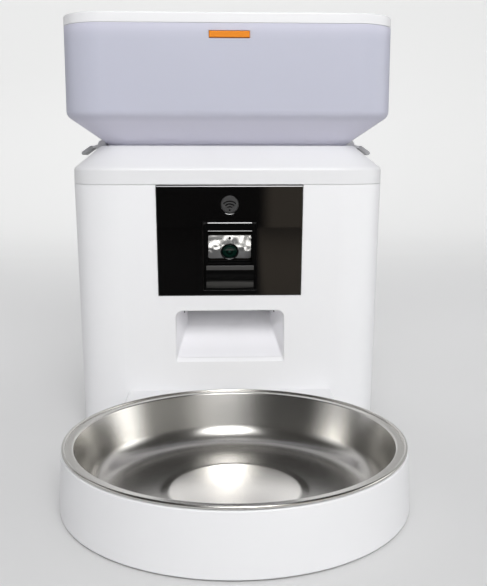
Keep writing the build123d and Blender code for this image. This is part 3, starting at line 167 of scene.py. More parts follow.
def steel(name, colour, rough, streak=0.2):
    """Turned or drawn metal: its roughness wanders by the share streak in fine noise."""
    mat = bpy.data.materials.new(name)
    mat.use_nodes = True
    nodes, links = mat.node_tree.nodes, mat.node_tree.links
    shader = nodes["Principled BSDF"]
    shader.inputs["Base Color"].default_value = (*colour, 1)
    shader.inputs["Metallic"].default_value = 1.0
    place = nodes.new("ShaderNodeTexCoord")
    grit = nodes.new("ShaderNodeTexNoise")
    grit.inputs["Scale"].default_value = 900.0
    wear = nodes.new("ShaderNodeMapRange")
    wear.inputs["To Min"].default_value = rough * (1 - streak)
    wear.inputs["To Max"].default_value = rough * (1 + streak)
    links.new(place.outputs["Object"], grit.inputs["Vector"])
    links.new(grit.outputs["Fac"], wear.inputs["Value"])
    links.new(wear.outputs["Result"], shader.inputs["Roughness"])
    return mat


screw_steel = steel("screw_steel", (0.55, 0.55, 0.56), 0.3)
contact_steel = steel("contact_steel", (0.72, 0.70, 0.66), 0.25)
pinion_brass = steel("pinion_brass", (0.80, 0.58, 0.25), 0.28)
finish_nodes(screw_steel, "case_screws", "gearbox_screws", "board_screws", "hinge_pins",
             "motor_shaft", "drive_shaft", "motor")
finish_nodes(contact_steel, "battery_contacts", "key_spring")
finish_nodes(pinion_brass, "motor_pinion")

# ------------------------------------------------------------------ top cover
# One white moulding: an upright band over the shell's seam, a sloped shoulder and a flat top
# around the hopper's opening. Its lip clicks inside the shell.


def outline(w, d, r, y, across, turn=14, run_steps=8):
    """A rounded rectangle seen from above, anticlockwise from the right end of its front: quarter
    circles of turn steps joined by straight runs. The front's run also has the places across, or
    a place just inside its end where they lie past it."""
    half_w, half_d = w / 2 - r, d / 2 - r
    arc = np.linspace(0, math.pi / 2, turn + 1)
    run = np.linspace(-1, 1, run_steps + 1)[1:-1]
    even = np.ones(len(run))
    front = np.sort(np.concatenate([half_w * run, np.clip(across, -0.95 * half_w, 0.95 * half_w)]))
    runs = [(even * w / 2, half_d * run), (-half_w * run, even * d / 2),
            (even * -w / 2, -half_d * run), (front, np.full(len(front), -d / 2))]
    sides = []
    for k, (cx, cy) in enumerate(((1, -1), (1, 1), (-1, 1), (-1, -1))):
        angle = arc + (k - 1) * math.pi / 2
        sides.append(np.stack([cx * half_w + r * np.cos(angle), cy * half_d + r * np.sin(angle)], 1))
        sides.append(np.stack(runs[k], 1))
    ring = np.concatenate(sides)
    ring[:, 1] += y
    return ring


def inset(size, by):
    """The width, depth and corner radius of an outline that lies by millimetres further in."""
    w, d, r = size
    return w - 2 * by, d - 2 * by, r - by


def soften(rows, steps=5):
    """Rounds a line of rows (w, d, r, z, y, reach): a corner with a reach is replaced by steps + 1
    points of the parabola that leaves the two runs at that distance from the corner."""
    rows = np.array(rows, float)
    line = []
    for k, row in enumerate(rows):
        reach = row[5]
        if reach == 0 or k in (0, len(rows) - 1):
            line.append(row[:5])
            continue
        before, after = rows[k - 1][:5] - row[:5], rows[k + 1][:5] - row[:5]
        long_a = math.hypot(before[0] / 2, before[3])
        long_b = math.hypot(after[0] / 2, after[3])
        start = row[:5] + before * min(reach / long_a, 0.49)
        end = row[:5] + after * min(reach / long_b, 0.49)
        t = np.linspace(0, 1, steps + 1)[:, None]
        line.extend((1 - t) ** 2 * start + 2 * t * (1 - t) * row[:5] + t ** 2 * end)
    return np.array(line)


def skin(rings):
    """Joins rings of equal length, each given as an (n, 3) array, by quads that face outwards
    when the rings run anticlockwise and climb."""
    count = len(rings[0])
    here = np.arange(count)
    there = (here + 1) % count
    low = np.arange(len(rings) - 1)[:, None] * count
    faces = np.stack([low + here, low + there, low + count + there, low + count + here], 2)
    return np.concatenate(rings), faces.reshape(-1, 4)


def capped(rings):
    """The skin of the rings, with its first and its last ring each closed by one face."""
    points, faces = skin(rings)
    count = len(rings[0])
    caps = [list(range(count))[::-1], list(range(len(points) - count, len(points)))]
    return points, faces.tolist() + caps


def rings_of(rows, across=()):
    """The rings of a line of rows (w, d, r, z, y), in millimetres."""
    rings = []
    for w, d, r, z, y in rows:
        flat = outline(w, d, r, y, np.array(across, float))
        rings.append(np.column_stack([flat, np.full(len(flat), z)]))
    return rings


def build(name, parts, mat, body, nodes, bevel=0.0, sharp=35.0):
    """Makes one object of (points, faces) parts given in millimetres, smooth up to the sharp
    angle, with its sharp edges broken by bevel metres, and gives it its material and body; the CAD
    nodes that it stands for are hidden."""
    points, faces, base = [], [], 0
    for part_points, part_faces in parts:
        points.append(np.asarray(part_points, float))
        faces.extend([[int(i) + base for i in face] for face in part_faces])
        base += len(part_points)
    mesh = bpy.data.meshes.new(name)
    mesh.from_pydata((np.concatenate(points) * 0.001).tolist(), [], faces)
    mesh.validate()
    mesh.shade_smooth()
    mesh.set_sharp_from_angle(angle=math.radians(sharp))
    mesh.materials.append(mat)
    obj = bpy.data.objects.new(name, mesh)
    bpy.context.collection.objects.link(obj)
    if bevel:
        soft = obj.modifiers.new("broken_edges", "BEVEL")
        soft.width = bevel
        soft.segments = 2
        soft.limit_method = "ANGLE"
        soft.angle_limit = math.radians(sharp)
        soft.harden_normals = True
    even = obj.modifiers.new("even_shading", "WEIGHTED_NORMAL")
    even.keep_sharp = True
    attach(obj, body)
    if nodes:
        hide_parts(*nodes)
    return obj


body_y = 92.55
body_size, flat_size, mouth_size = (209.0, 176.0, 32.0), (173.0, 140.0, 20.0), (155.8, 122.8, 12.9)
seam_z, seam_gap, crease_z, cover_top_z = 171.0, 0.12, 181.5, 196.4
lip_z, lip_gap, lip_wall = 166.0, 0.3, 2.2
collar_z, collar_wall = 188.4, 2.2
wall = 2.8

lip_out, lip_in = inset(body_size, wall + lip_gap), inset(body_size, wall + lip_gap + lip_wall)
collar = inset(mouth_size, -collar_wall)
cover_rows = soften([
    (*lip_in, lip_z, body_y, 0),
    (*lip_out, lip_z, body_y, 0.4),
    (*lip_out, seam_z + seam_gap, body_y, 0),
    (*body_size, seam_z + seam_gap, body_y, 0.35),
    (*body_size, crease_z, body_y, 1.6),
    (*flat_size, cover_top_z, body_y, 1.8),
    (*mouth_size, cover_top_z, body_y, 0.7),
    (*mouth_size, collar_z, body_y, 0.3),
    (*collar, collar_z, body_y, 0.3),
    (*collar, cover_top_z - wall, body_y, 0),
    (flat_size[0] - wall, flat_size[1] - wall, flat_size[2] - 1, cover_top_z - wall, body_y, 1.0),
    (*inset(body_size, wall), crease_z - 1, body_y, 1.0),
    (*inset(body_size, wall), seam_z + 3, body_y, 0),
    (*lip_in, seam_z + 3, body_y, 0),
    (*lip_in, lip_z, body_y, 0),
])


def prism(points, from_to, axis):
    """A polygon of (a, b) points carried along axis 0 or 1, facing outwards; a and b are the two
    other axes in turn."""
    flat = np.array(points, float)
    area = np.sum(flat[:, 0] * np.roll(flat[:, 1], -1) - np.roll(flat[:, 0], -1) * flat[:, 1])
    if (area > 0) == (axis == 1):
        flat = flat[::-1]
    count = len(flat)
    ends = []
    for place in from_to:
        ends.append(np.insert(flat, axis, place, axis=1))
    here = np.arange(count)
    there = (here + 1) % count
    sides = np.stack([here, there, there + count, here + count], 1).tolist()
    caps = [here[::-1].tolist(), (here + count).tolist()]
    return np.concatenate(ends), sides + caps


pivot_x, pivot_z, barrel_r = 91.0, 198.0, 3.0
ear_from, ear_to = 10.3, 13.45
ear_foot = [(87.0, 194.0), (97.6, 185.6)]
ear_top = [(pivot_x + barrel_r * math.cos(a), pivot_z + barrel_r * math.sin(a))
           for a in np.linspace(0, math.pi, 13)]
ears = []
for side in (-1, 1):
    shape = [(side * x, z) for x, z in ear_top + ear_foot]
    for y in (-ear_to, ear_from):
        ears.append(prism(shape, (body_y + y, body_y + y + ear_to - ear_from), 1))
cover_white = moulded("cover_white", (0.78, 0.78, 0.79), 0.36, edge=0.0006)
build("top_cover_moulding", [skin(rings_of(cover_rows))] + ears, cover_white, "housing",
      ["top_cover"], bevel=0.0003)

# ------------------------------------------------------------------ side latches
# Sprung levers on pins at each side of the top cover: a pale barrel and a thin arm with a nose
# over the bin's catch, and a small grey finger pad with a fine spark-eroded skin.

arm_pale = moulded("arm_pale", (0.80, 0.80, 0.81), 0.4)
pad_grey = moulded("pad_grey", (0.52, 0.52, 0.525), 0.5, grain=0.00005, depth=0.5)
finish_nodes(arm_pale, "latch_pins")
pad_in, pad_out = (8.3, -2.3), (14.1, -6.3)
arm_half, nose_half, pad_half = 10.0, 7.0, 10.2
arm_thick, pad_thick = 1.6, 2.8
nose_line = [(pivot_x, 200.5), (87.5, 200.5), (87.5, 199.6), (pivot_x, 197.6)]


def bar(start, end, thick):
    """The outline of a bar with half-round ends from start to end, in (x, z)."""
    start, end = np.array(start), np.array(end)
    heading = math.atan2(*(end - start)[::-1])
    around_end = heading + np.linspace(-math.pi / 2, math.pi / 2, 9)
    turn = np.stack([np.cos(around_end), np.sin(around_end)], 1) * thick / 2
    return np.concatenate([end + turn, start - turn])


def across_latch(line, side, half):
    """A latch's outline on the side -1 or 1, carried half to the front and half to the back."""
    return prism(np.array(line) * (side, 1), (body_y - half, body_y + half), 1)


for side, node in ((-1, "left_latch"), (1, "right_latch")):
    pivot = np.array([pivot_x, pivot_z])
    barrel = bar(pivot - (0.01, 0), pivot + (0.01, 0), 2 * barrel_r)
    arm = bar(pivot, pivot + pad_in, arm_thick)
    pad = bar(pivot + pad_in, pivot + pad_out, pad_thick)
    build(node + "_arm", [across_latch(barrel, side, arm_half), across_latch(arm, side, arm_half),
                          across_latch(nose_line, side, nose_half)],
          arm_pale, node, [node], bevel=0.0002)
    build(node + "_pad", [across_latch(pad, side, pad_half)], pad_grey, node, [],
          bevel=0.0004)

# ------------------------------------------------------------------ front panel
# A polished black cover glued into a shallow pocket of the shell. Its upper edge catches the
# light; that bright line is made with the camera hood's, below.

panel_black = moulded("panel_black", (0.0022, 0.002, 0.002), 0.025, grain=0.000002, mottle=0.3,
                      edge=0.0003)
finish_nodes(panel_black, "front_panel")

# ------------------------------------------------------------------ camera
# A glossy black housing with a hood and a sloped chin holds a tilting drum. A mirrored plate is
# glued on the drum's flat face, a little wavy, around coated lens glass and a black disc that is
# painted shade for a microphone hole.
# Narrow polished edges tilt toward the light, and a satin band crosses the top of the chin.

bezel_black = moulded("bezel_black", (0.003, 0.003, 0.003), 0.04, grain=0.000003, mottle=0.3)
bezel_black.node_tree.nodes["Principled BSDF"].inputs["Specular IOR Level"].default_value = 0.07
drum_y, drum_z, drum_r = 16.05, 131.8, 11.5
bore_r = drum_r + 0.4
throat = 5.0
throat_y = drum_y - throat
half_throat = math.acos(throat / bore_r)
bore = [(drum_y - bore_r * math.cos(a), drum_z + bore_r * math.sin(a))
        for a in np.linspace(half_throat, 2 * math.pi - half_throat, 40)]
panel_y, case_back_y, shelf_y = 3.95, 29.95, 6.55
case_low, chin_top, throat_low, throat_high, case_high = 101.9, 115.6, 118.9, 141.4, 146.7
chin_turn = np.radians(np.linspace(28, 0, 12))
chin_y, chin_r = 0.55, (chin_top - case_low) / math.sin(chin_turn[0])
chin = [(chin_y + chin_r * (1 - math.cos(a)), chin_top - chin_r * math.sin(a)) for a in chin_turn]
chin += [(0.75, 118.6), (1.1, throat_low), (throat_y, throat_low)]
hood_y, hood_nose = 3.35, [(3.35, 145.95), (3.7, case_high)]
hood = [(throat_y, throat_high), (hood_y, throat_high - 0.3)] + hood_nose
rear = [(case_back_y, case_high), (case_back_y, 122.8), (drum_y, 117.1), (shelf_y, case_low)]
cheek = [(panel_y, case_low), (panel_y, 145.4)] + hood_nose + rear
cheek_in, cheek_out, core_half = 14.5, 17.4, 15.7
shroud = [prism(chin + bore[::-1] + hood + rear, (-core_half, core_half), 0)]
shroud += [prism(cheek, ends, 0) for ends in ((-cheek_out, -cheek_in), (cheek_in, cheek_out))]
build("camera_shroud", shroud, bezel_black, "housing", ["camera_bezel"], bevel=0.00025)

edge_gloss = moulded("edge_gloss", (0.02, 0.02, 0.02), 0.05, grain=0.000002, mottle=0.3)
edge_gloss.node_tree.nodes["Principled BSDF"].inputs["Specular IOR Level"].default_value = 1.0
panel_edge_half, hood_edge_half = 47.7, 14.4
panel_edge = [(3.78, 169.82), (3.95, 170.32), (4.3, 170.32), (4.3, 169.82)]
hood_edge = [(3.2, 146.1), (3.4, 146.68), (3.9, 146.68), (3.9, 146.1)]
hood_line = [(3.25, 141.0), (3.34, 141.25), (3.6, 141.25), (3.6, 141.0)]
edges = [prism(panel_edge, (-panel_edge_half, panel_edge_half), 0)]
edges += [prism(line, (-hood_edge_half, hood_edge_half), 0) for line in (hood_edge, hood_line)]
build("polished_edges", edges, edge_gloss, "housing", [])

band_satin = moulded("band_satin", (0.045, 0.044, 0.043), 0.4)
band_half = 15.5
band = [(0.53, 115.7), (0.53, 118.3), (0.8, 118.7), (1.4, 118.7), (1.4, 115.7)]
build("chin_band", [prism(band, (-band_half, band_half), 0)], band_satin, "housing",
      [], bevel=0.00015)
drum_black = moulded("drum_black", (0.010, 0.009, 0.008), 0.2, edge=0.0003)
finish_nodes(drum_black, "camera_drum", "camera_module")

face_tilt, face_out = math.radians(20), 7.2
face_mid = (drum_y - face_out * math.cos(face_tilt), drum_z - face_out * math.sin(face_tilt))
lens_v, mic_v = -2.6, 7.3


def on_face(u, v, h):
    """Points of the feeder's frame from places on the drum's flat face: u across, v up from the
    middle of the face and h out of it."""
    u, v, h = np.broadcast_arrays(u, v, h)
    y = face_mid[0] - v * math.sin(face_tilt) - h * math.cos(face_tilt)
    z = face_mid[1] + v * math.cos(face_tilt) - h * math.sin(face_tilt)
    return np.stack([u, y, z], 1)


plate_w, plate_h, plate_r, plate_v, plate_chamfer = 28.4, 16.9, 1.3, 0.85, 0.25
plate_line = outline(plate_w, plate_h, plate_r, plate_v, ())
plate_in = plate_line * (1 - plate_chamfer / np.abs(plate_line).max(0))
hole_r, plate_back, plate_face = 6.1, -0.2, 0.12
bearing = np.arctan2(plate_line[:, 1] - lens_v, plate_line[:, 0])
hole = np.stack([hole_r * np.cos(bearing), lens_v + hole_r * np.sin(bearing)], 1)
plate = skin([on_face(line[:, 0], line[:, 1], h) for line, h in (
    (hole, plate_back), (plate_line, plate_back), (plate_line, 0.0), (plate_in, plate_face),
    (hole, plate_face), (hole, plate_back))])


def wavy_mirror(name, colour, rough):
    """Metallised plastic film: a dim mirror whose skin waves every few millimetres, as film does
    over glue."""
    mat = steel(name, colour, rough)
    nodes, links = mat.node_tree.nodes, mat.node_tree.links
    nodes["Principled BSDF"].inputs["Metallic"].default_value = 0.55
    place = nodes.new("ShaderNodeTexCoord")
    ripple = nodes.new("ShaderNodeTexNoise")
    ripple.inputs["Scale"].default_value = 120.0
    ripple.inputs["Detail"].default_value = 1.0
    wave = nodes.new("ShaderNodeBump")
    wave.inputs["Strength"].default_value = 0.8
    wave.inputs["Distance"].default_value = 0.0016
    links.new(place.outputs["Object"], ripple.inputs["Vector"])
    links.new(ripple.outputs["Fac"], wave.inputs["Height"])
    links.new(wave.outputs["Normal"], nodes["Principled BSDF"].inputs["Normal"])
    return mat


mirror_plate = wavy_mirror("mirror_plate", (0.36, 0.36, 0.36), 0.13)
build("camera_mirror", [plate], mirror_plate, "camera", [])


def turned(profile, v, turns=72):
    """A turned piece standing on the drum's face: its (radius, height) points are carried round
    the axis through (0, v), and its first and last ring are each closed by one face."""
    angle = np.linspace(0, 2 * math.pi, turns, endpoint=False)
    return capped([on_face(r * np.cos(angle), v + r * np.sin(angle), h) for r, h in profile])


ring_black = moulded("ring_black", (0.012, 0.012, 0.012), 0.25)
rim_line = [(4.6, -0.9), (6.05, -0.9), (6.05, 0.15), (5.98, 0.25), (5.85, 0.25), (5.6, 0.0), (4.6, -0.9)]
build("lens_rim", [turned(rim_line, lens_v)], ring_black, "camera", ["lens_ring"])
# Painted shade: the microphone hole is a black disc standing on the face, coloured as the dark inside of a
# hole.
painted_hole_shade = moulded("painted_hole_shade", (0.004, 0.004, 0.004), 0.9)
mic_line = [(1.0, -0.1), (1.0, 0.2), (0.9, 0.24), (0.02, 0.24)]
build("microphone_hole", [turned(mic_line, mic_v)], painted_hole_shade, "camera", [])


def stops_of(ramp, stops):
    """Gives a colour ramp its stops, each a place and a colour."""
    elements = ramp.color_ramp.elements
    for k, (at, colour) in enumerate(stops):
        stop = elements[k] if k < 2 else elements.new(at)
        stop.position = at
        stop.color = (*colour, 1)


def coated_glass(name, middle, reach):
    """Lens glass seen from outside: dark green rings of the barrel and iris under a hard gloss,
    by distance from the middle of the lens as a share of its reach, both in metres."""
    mat = moulded(name, (0.004, 0.02, 0.014), 0.06, grain=0.000002)
    nodes, links = mat.node_tree.nodes, mat.node_tree.links
    nodes["Principled BSDF"].inputs["Specular IOR Level"].default_value = 0.08
    place = nodes.new("ShaderNodeTexCoord")
    away = nodes.new("ShaderNodeVectorMath")
    away.operation = "DISTANCE"
    away.inputs[1].default_value = middle
    links.new(place.outputs["Object"], away.inputs[0])
    share = nodes.new("ShaderNodeMath")
    share.operation = "DIVIDE"
    share.inputs[1].default_value = reach
    links.new(away.outputs["Value"], share.inputs[0])
    rings = nodes.new("ShaderNodeValToRGB")
    stops_of(rings, [
        (0.0, (0.02, 0.06, 0.047)), (0.14, (0.008, 0.03, 0.022)), (0.22, (0.001, 0.004, 0.003)),
        (0.46, (0.002, 0.010, 0.007)), (0.52, (0.007, 0.03, 0.021)), (0.60, (0.002, 0.013, 0.009)),
        (0.78, (0.004, 0.019, 0.014)), (0.86, (0.001, 0.004, 0.003)), (1.0, (0.001, 0.002, 0.002))])
    links.new(share.outputs["Value"], rings.inputs["Fac"])
    links.new(rings.outputs["Color"], nodes["Principled BSDF"].inputs["Base Color"])
    return mat


dome_r, dome_rise, dome_sink, dome_back = 5.75, 0.6, -0.5, -1.5
dome = [(dome_r * math.cos(a), dome_sink + dome_rise * math.sin(a))
        for a in np.linspace(0, math.pi / 2 - 0.05, 12)]
lens_middle = on_face(0.0, lens_v, np.zeros(1))[0] * 0.001
lens_green = coated_glass("lens_green", tuple(lens_middle), 0.0055)
build("lens_dome", [turned([(dome_r, dome_back)] + dome, lens_v)], lens_green, "camera",
      ["camera_lens"])

# ------------------------------------------------------------------ feed button
# A grey round key above the camera, with printed signal arcs. The panel has a short polished
# lip under it.

button_grey = moulded("button_grey", (0.04, 0.04, 0.041), 0.42, edge=0.0004)
finish_nodes(button_grey, "feed_button")
button_face_y, button_z = 3.65, 158.3
mark_z, dot_r, arc_radii, arc_width, arc_spread = 154.6, 0.6, (1.9, 3.7, 5.5), 0.75, 44


def ring_arc(inner, outer, spread, steps=24):
    """The outline in (x, z) of an arc band between two radii, spread degrees to each side of
    straight up."""
    angle = np.radians(np.linspace(90 - spread, 90 + spread, steps))
    out = np.stack([outer * np.cos(angle), outer * np.sin(angle)], 1)
    back = np.stack([inner * np.cos(angle[::-1]), inner * np.sin(angle[::-1])], 1)
    return np.concatenate([out, back]) + (0, mark_z)


dot = np.radians(np.linspace(0, 360, 20, endpoint=False))
marks = [np.stack([dot_r * np.cos(dot), mark_z + dot_r * np.sin(dot)], 1)]
marks += [ring_arc(r, r + arc_width, arc_spread) for r in arc_radii]
mark_black = moulded("mark_black", (0.003, 0.003, 0.003), 0.08)
build("button_marks", [prism(m, (button_face_y - 0.04, button_face_y + 0.02), 1) for m in marks],
      mark_black, "feed_button", [])
lip_line = [(6.15, 3.94), (6.5, 3.81), (6.55, 4.2), (6.15, 4.2)]
below = np.radians(np.linspace(-118, -62, 14))
lip = [[(r * math.cos(a), y, button_z + r * math.sin(a)) for r, y in lip_line] for a in below]
build("button_lip", [capped(np.array(lip))], edge_gloss, "housing", [])

# ------------------------------------------------------------------ hopper
# A frosted, slightly lilac bin: upright walls, a sloped floor, a neck that drops into the cover
# and a funnel to the wheel. It is moulded in one, with a slot for the key and the hinge lugs.


def frosted(name, colour, painted_rim_share, rough):
    """Frosted plastic: part of the light comes through the wall. The colour carries painted light:
    it is paler in the sloped floor and the neck, lifting their shade, and, by the share
    painted_rim_share, in the rim, painted as the lid's skirt showing through the wall."""
    mat = moulded(name, colour, rough)
    nodes, links = mat.node_tree.nodes, mat.node_tree.links
    depth = nodes.new("ShaderNodeValToRGB")
    # Painted light: heights in metres and how much of the paler colour each takes.
    painted_shares = [(0.1965, 1.0), (0.2130, 0.9), (0.2165, 0.0), (0.2650, 0.0), (0.2672, painted_rim_share)]
    stops_of(depth, [(height, (share, share, share)) for height, share in painted_shares])
    links.new(place_of(mat.node_tree)[3], depth.inputs["Fac"])
    tint = paler(mat, depth.outputs["Color"], (0.90, 0.89, 1.0))
    through = nodes.new("ShaderNodeBsdfTranslucent")
    links.new(tint, through.inputs["Color"])
    both = nodes.new("ShaderNodeMixShader")
    both.inputs[0].default_value = 0.3
    links.new(nodes["Principled BSDF"].outputs[0], both.inputs[1])
    links.new(through.outputs[0], both.inputs[2])
    links.new(both.outputs[0], nodes["Material Output"].inputs["Surface"])
    return mat


frost = frosted("frosted_bin", (0.68, 0.69, 0.79), 0.5, 0.36)
spout_r, spout_z, spout_top_z, wheel_y = 50.6, 154.0, 164.0, 86.55
bin_size, ledge_size, neck_size = (214.0, 181.0, 26.0), (162.0, 129.0, 16.0), (155.2, 122.2, 12.6)
spout_size = (2 * spout_r, 2 * spout_r, spout_r - 0.01)
bin_wall = 2.4
bin_in, neck_in, spout_in = (inset(size, bin_wall) for size in (bin_size, neck_size, spout_size))
neck_z, base_z, knee_z, rim_z = 190.2, 196.7, 215.4, 271.7
slot_half, slot_low, slot_high = 12.95, 262.5, 267.1
bin_rows = soften([
    (*spout_in, spout_z, wheel_y, 0),
    (*spout_size, spout_z, wheel_y, 0.5),
    (*spout_size, spout_top_z, wheel_y, 2.0),
    (*neck_size, neck_z, body_y, 2.0),
    (*neck_size, base_z, body_y, 0.3),
    (*ledge_size, base_z, body_y, 0.8),
    (*bin_size, knee_z, body_y, 3.2),
    (*bin_size, slot_low, body_y, 0),
    (*bin_size, slot_high, body_y, 0),
    (*bin_size, rim_z, body_y, 0.5),
    (*bin_in, rim_z, body_y, 0.5),
    (*bin_in, slot_high, body_y, 0),
    (*bin_in, slot_low, body_y, 0),
    (*bin_in, knee_z + 1, body_y, 3.0),
    (*neck_in, base_z, body_y, 2.0),
    (*neck_in, neck_z, body_y, 2.0),
    (*spout_in, spout_top_z, wheel_y, 2.0),
    (*spout_in, spout_z, wheel_y, 0),
])


def slotted(rows, half, low, high, both_skins=6.0, in_wall=1.0):
    """The skin of the rows without the cells of the front wall between the heights low and high
    and within half of the middle. The cut edges of the wall's two skins are joined: each outer
    corner to the inner one nearest to it, with x counted nine times."""
    points, faces = skin(rings_of(rows, (-half, half)))
    x, y, z = points[faces].mean(1).T
    front = points[:, 1].min()
    cut = (abs(x) < half) & (y < front + both_skins) & (z > low) & (z < high)
    edges = dict.fromkeys((a, b) for face in faces[cut].tolist() for a, b in zip(face, face[1:] + face[:1]))
    outside = points[:, 1] < front + in_wall
    rim = [(a, b) for a, b in edges if (b, a) not in edges]
    partner = {}
    for corner in {i for edge in rim for i in edge}:
        far = abs(points - points[corner]) @ (9, 1, 1)
        partner[corner] = int(np.argmin(np.where(outside == outside[corner], np.inf, far)))
    reveal = [[a, b, partner[b], partner[a]] for a, b in rim if outside[a]]
    return points, faces[~cut].tolist() + reveal


def open_box(half, y0, y1, z0, z1, thick):
    """A box without a lid: an outer ring of walls, an inner one and a floor between them."""
    w, d, y = 2 * half, y1 - y0, (y0 + y1) / 2
    return capped(rings_of([(w, d, 0.8, z0, y), (w, d, 0.8, z1, y),
                            (w - 2 * thick, d - 2 * thick, 0.6, z1, y),
                            (w - 2 * thick, d - 2 * thick, 0.6, z0 + thick, y)]))


hinge_x, hinge_y, hinge_z = 45.0, 187.05, 275.5
knuckle_r, knuckle_w, lug_w, hinge_gap = 3.0, 12.0, 4.9, 0.3
bin_back = body_y + bin_size[1] / 2
lug_line = [(hinge_y + knuckle_r * math.cos(a), hinge_z + knuckle_r * math.sin(a))
            for a in np.linspace(0, math.pi, 13)]
lug_line += [(hinge_y - knuckle_r, rim_z), (bin_back - 0.5, rim_z), (bin_back - 0.5, hinge_z - 19),
             (hinge_y + knuckle_r, hinge_z - 9)]
lugs = []
for x in (-hinge_x, hinge_x):
    for near in (x - knuckle_w / 2 - hinge_gap - lug_w, x + knuckle_w / 2 + hinge_gap):
        lugs.append(prism(lug_line, (near, near + lug_w), 0))
catch_half, catch_line = 8.0, [(80.0, 197.0), (87.1, 197.6), (87.1, 199.2), (80.0, 199.2)]
catches = [across_latch(catch_line, side, catch_half) for side in (-1, 1)]
pocket_half, pocket_front, pocket_back = 16.4, 3.95, 20.55
pocket_low, pocket_high, pocket_wall = 257.4, 266.9, 1.6
pocket = open_box(pocket_half, pocket_front, pocket_back, pocket_low, pocket_high, pocket_wall)
bin_parts = [slotted(bin_rows, slot_half, slot_low, slot_high), pocket] + lugs + catches
build("hopper_bin", bin_parts, frost, "hopper", ["hopper"], bevel=0.0003)

# ------------------------------------------------------------------ release key
# An orange bar that shows in the hopper's front wall and frees the lid's hook.

key_orange = moulded("key_orange", (0.77, 0.235, 0.008), 0.55, edge=0.0003)
key_orange.node_tree.nodes["Principled BSDF"].inputs["Specular IOR Level"].default_value = 0.25
finish_nodes(key_orange, "lid_key")

# ------------------------------------------------------------------ lid
# A white lid with a rounded edge and a slightly crowned top, hinged at the back.

lid_white = moulded("lid_white", (0.79, 0.79, 0.80), 0.36, edge=0.0003)
finish_nodes(lid_white, "desiccant_case")
lid_z, lid_top_z, crown_z = 271.8, 278.6, 280.6
skirt_z, groove_from, groove_to = 267.3, 269.4, 271.0
skirt_size, crown_size, crown_in = (207.6, 174.6, 22.8), (154.0, 121.0, 12.0), (94.0, 61.0, 10.0)
groove_size, skirt_in = inset(skirt_size, 0.9), inset(skirt_size, 1.8)
lid_rows = soften([
    (*skirt_in, lid_top_z - 2.4, body_y, 0),
    (*skirt_in, skirt_z, body_y, 0.4),
    (*skirt_size, skirt_z, body_y, 0.4),
    (*skirt_size, groove_from, body_y, 0.1),
    (*groove_size, groove_from, body_y, 0.1),
    (*groove_size, groove_to, body_y, 0.1),
    (*skirt_size, groove_to, body_y, 0.1),
    (*skirt_size, lid_z, body_y, 0.1),
    (*bin_size, lid_z, body_y, 0.3),
    (*bin_size, lid_top_z - 0.2, body_y, 1.3),
    (*inset(bin_size, 3.0), lid_top_z, body_y, 1.0),
    (*crown_size, crown_z, body_y, 9.0),
    (*crown_in, crown_z, body_y, 0),
])
lid_parts = [capped(rings_of(lid_rows))]
knuckle = [(hinge_y + knuckle_r * math.cos(a), hinge_z + knuckle_r * math.sin(a))
           for a in np.linspace(-math.pi / 2, math.pi / 2, 13)]
knuckle += [(bin_back - 3, hinge_z + knuckle_r), (bin_back - 3, hinge_z - knuckle_r + 0.3)]
lid_parts += [prism(knuckle, (x - knuckle_w / 2, x + knuckle_w / 2), 0) for x in (-hinge_x, hinge_x)]
hook_half = 8.0
hook = [(9.45, 259.6), (13.45, 262.4), (11.45, 262.4), (11.45, 277.0), (9.45, 277.0)]
lid_parts.append(prism(hook, (-hook_half, hook_half), 0))
build("lid_moulding", lid_parts, lid_white, "lid", ["lid"], bevel=0.0003)
seal_clear = moulded("seal_clear", (0.75, 0.75, 0.75), 0.5)
finish_nodes(seal_clear, "lid_seal")
bag_paper = moulded("bag_paper", (0.78, 0.77, 0.72), 0.8, grain=0.0001, mottle=0.08)
finish_nodes(bag_paper, "desiccant_bag")

# ------------------------------------------------------------------ tray
# A white round tray that carries the bowl; its neck and two tongues plug into the body.

tray_white = moulded("tray_white", (0.80, 0.80, 0.81), 0.42, edge=0.0006)
tray_y, tray_back = -93.65, 4.25
foot_z, tray_top = 0.8, 33.4
base_r, top_r, tray_wall, tray_floor_z = 96.4, 95.0, 2.2, 2.4
half_neck = 68.0
foot_round, rim_round, inner_round, corner_leg = 0.7, 0.8, 0.4, 2.0


def tray_outside(angle, r, by=0.0):
    """Distance from the tray's axis to its outside at each angle: the circle of radius r, or the
    neck's straight sides and back where they stand further out, all drawn in by millimetres."""
    side = (half_neck - by) / np.maximum(abs(np.cos(angle)), 1e-9)
    rear = (tray_back - tray_y - by) / np.maximum(np.sin(angle), 1e-9)
    return np.maximum(r - by, np.where(np.sin(angle) > 0, np.minimum(side, rear), 0))


neck_turn = math.atan2(tray_back - tray_y, half_neck)
meet = math.acos(half_neck / base_r)
turns = np.concatenate([np.linspace(0, 2 * math.pi, 240, endpoint=False),
                        [neck_turn, math.pi - neck_turn, meet, math.pi - meet]])
turns = np.unique(np.round(turns, 9))


def tray_ring(reach, z):
    """One level ring of the tray at the given distances from its axis."""
    return np.stack([reach * np.cos(turns), tray_y + reach * np.sin(turns),
                     np.full(len(turns), z)], 1)


def wall_r(z):
    """The drafted wall's radius at a height."""
    return base_r + (top_r - base_r) * (z - foot_z) / (tray_top - foot_z)


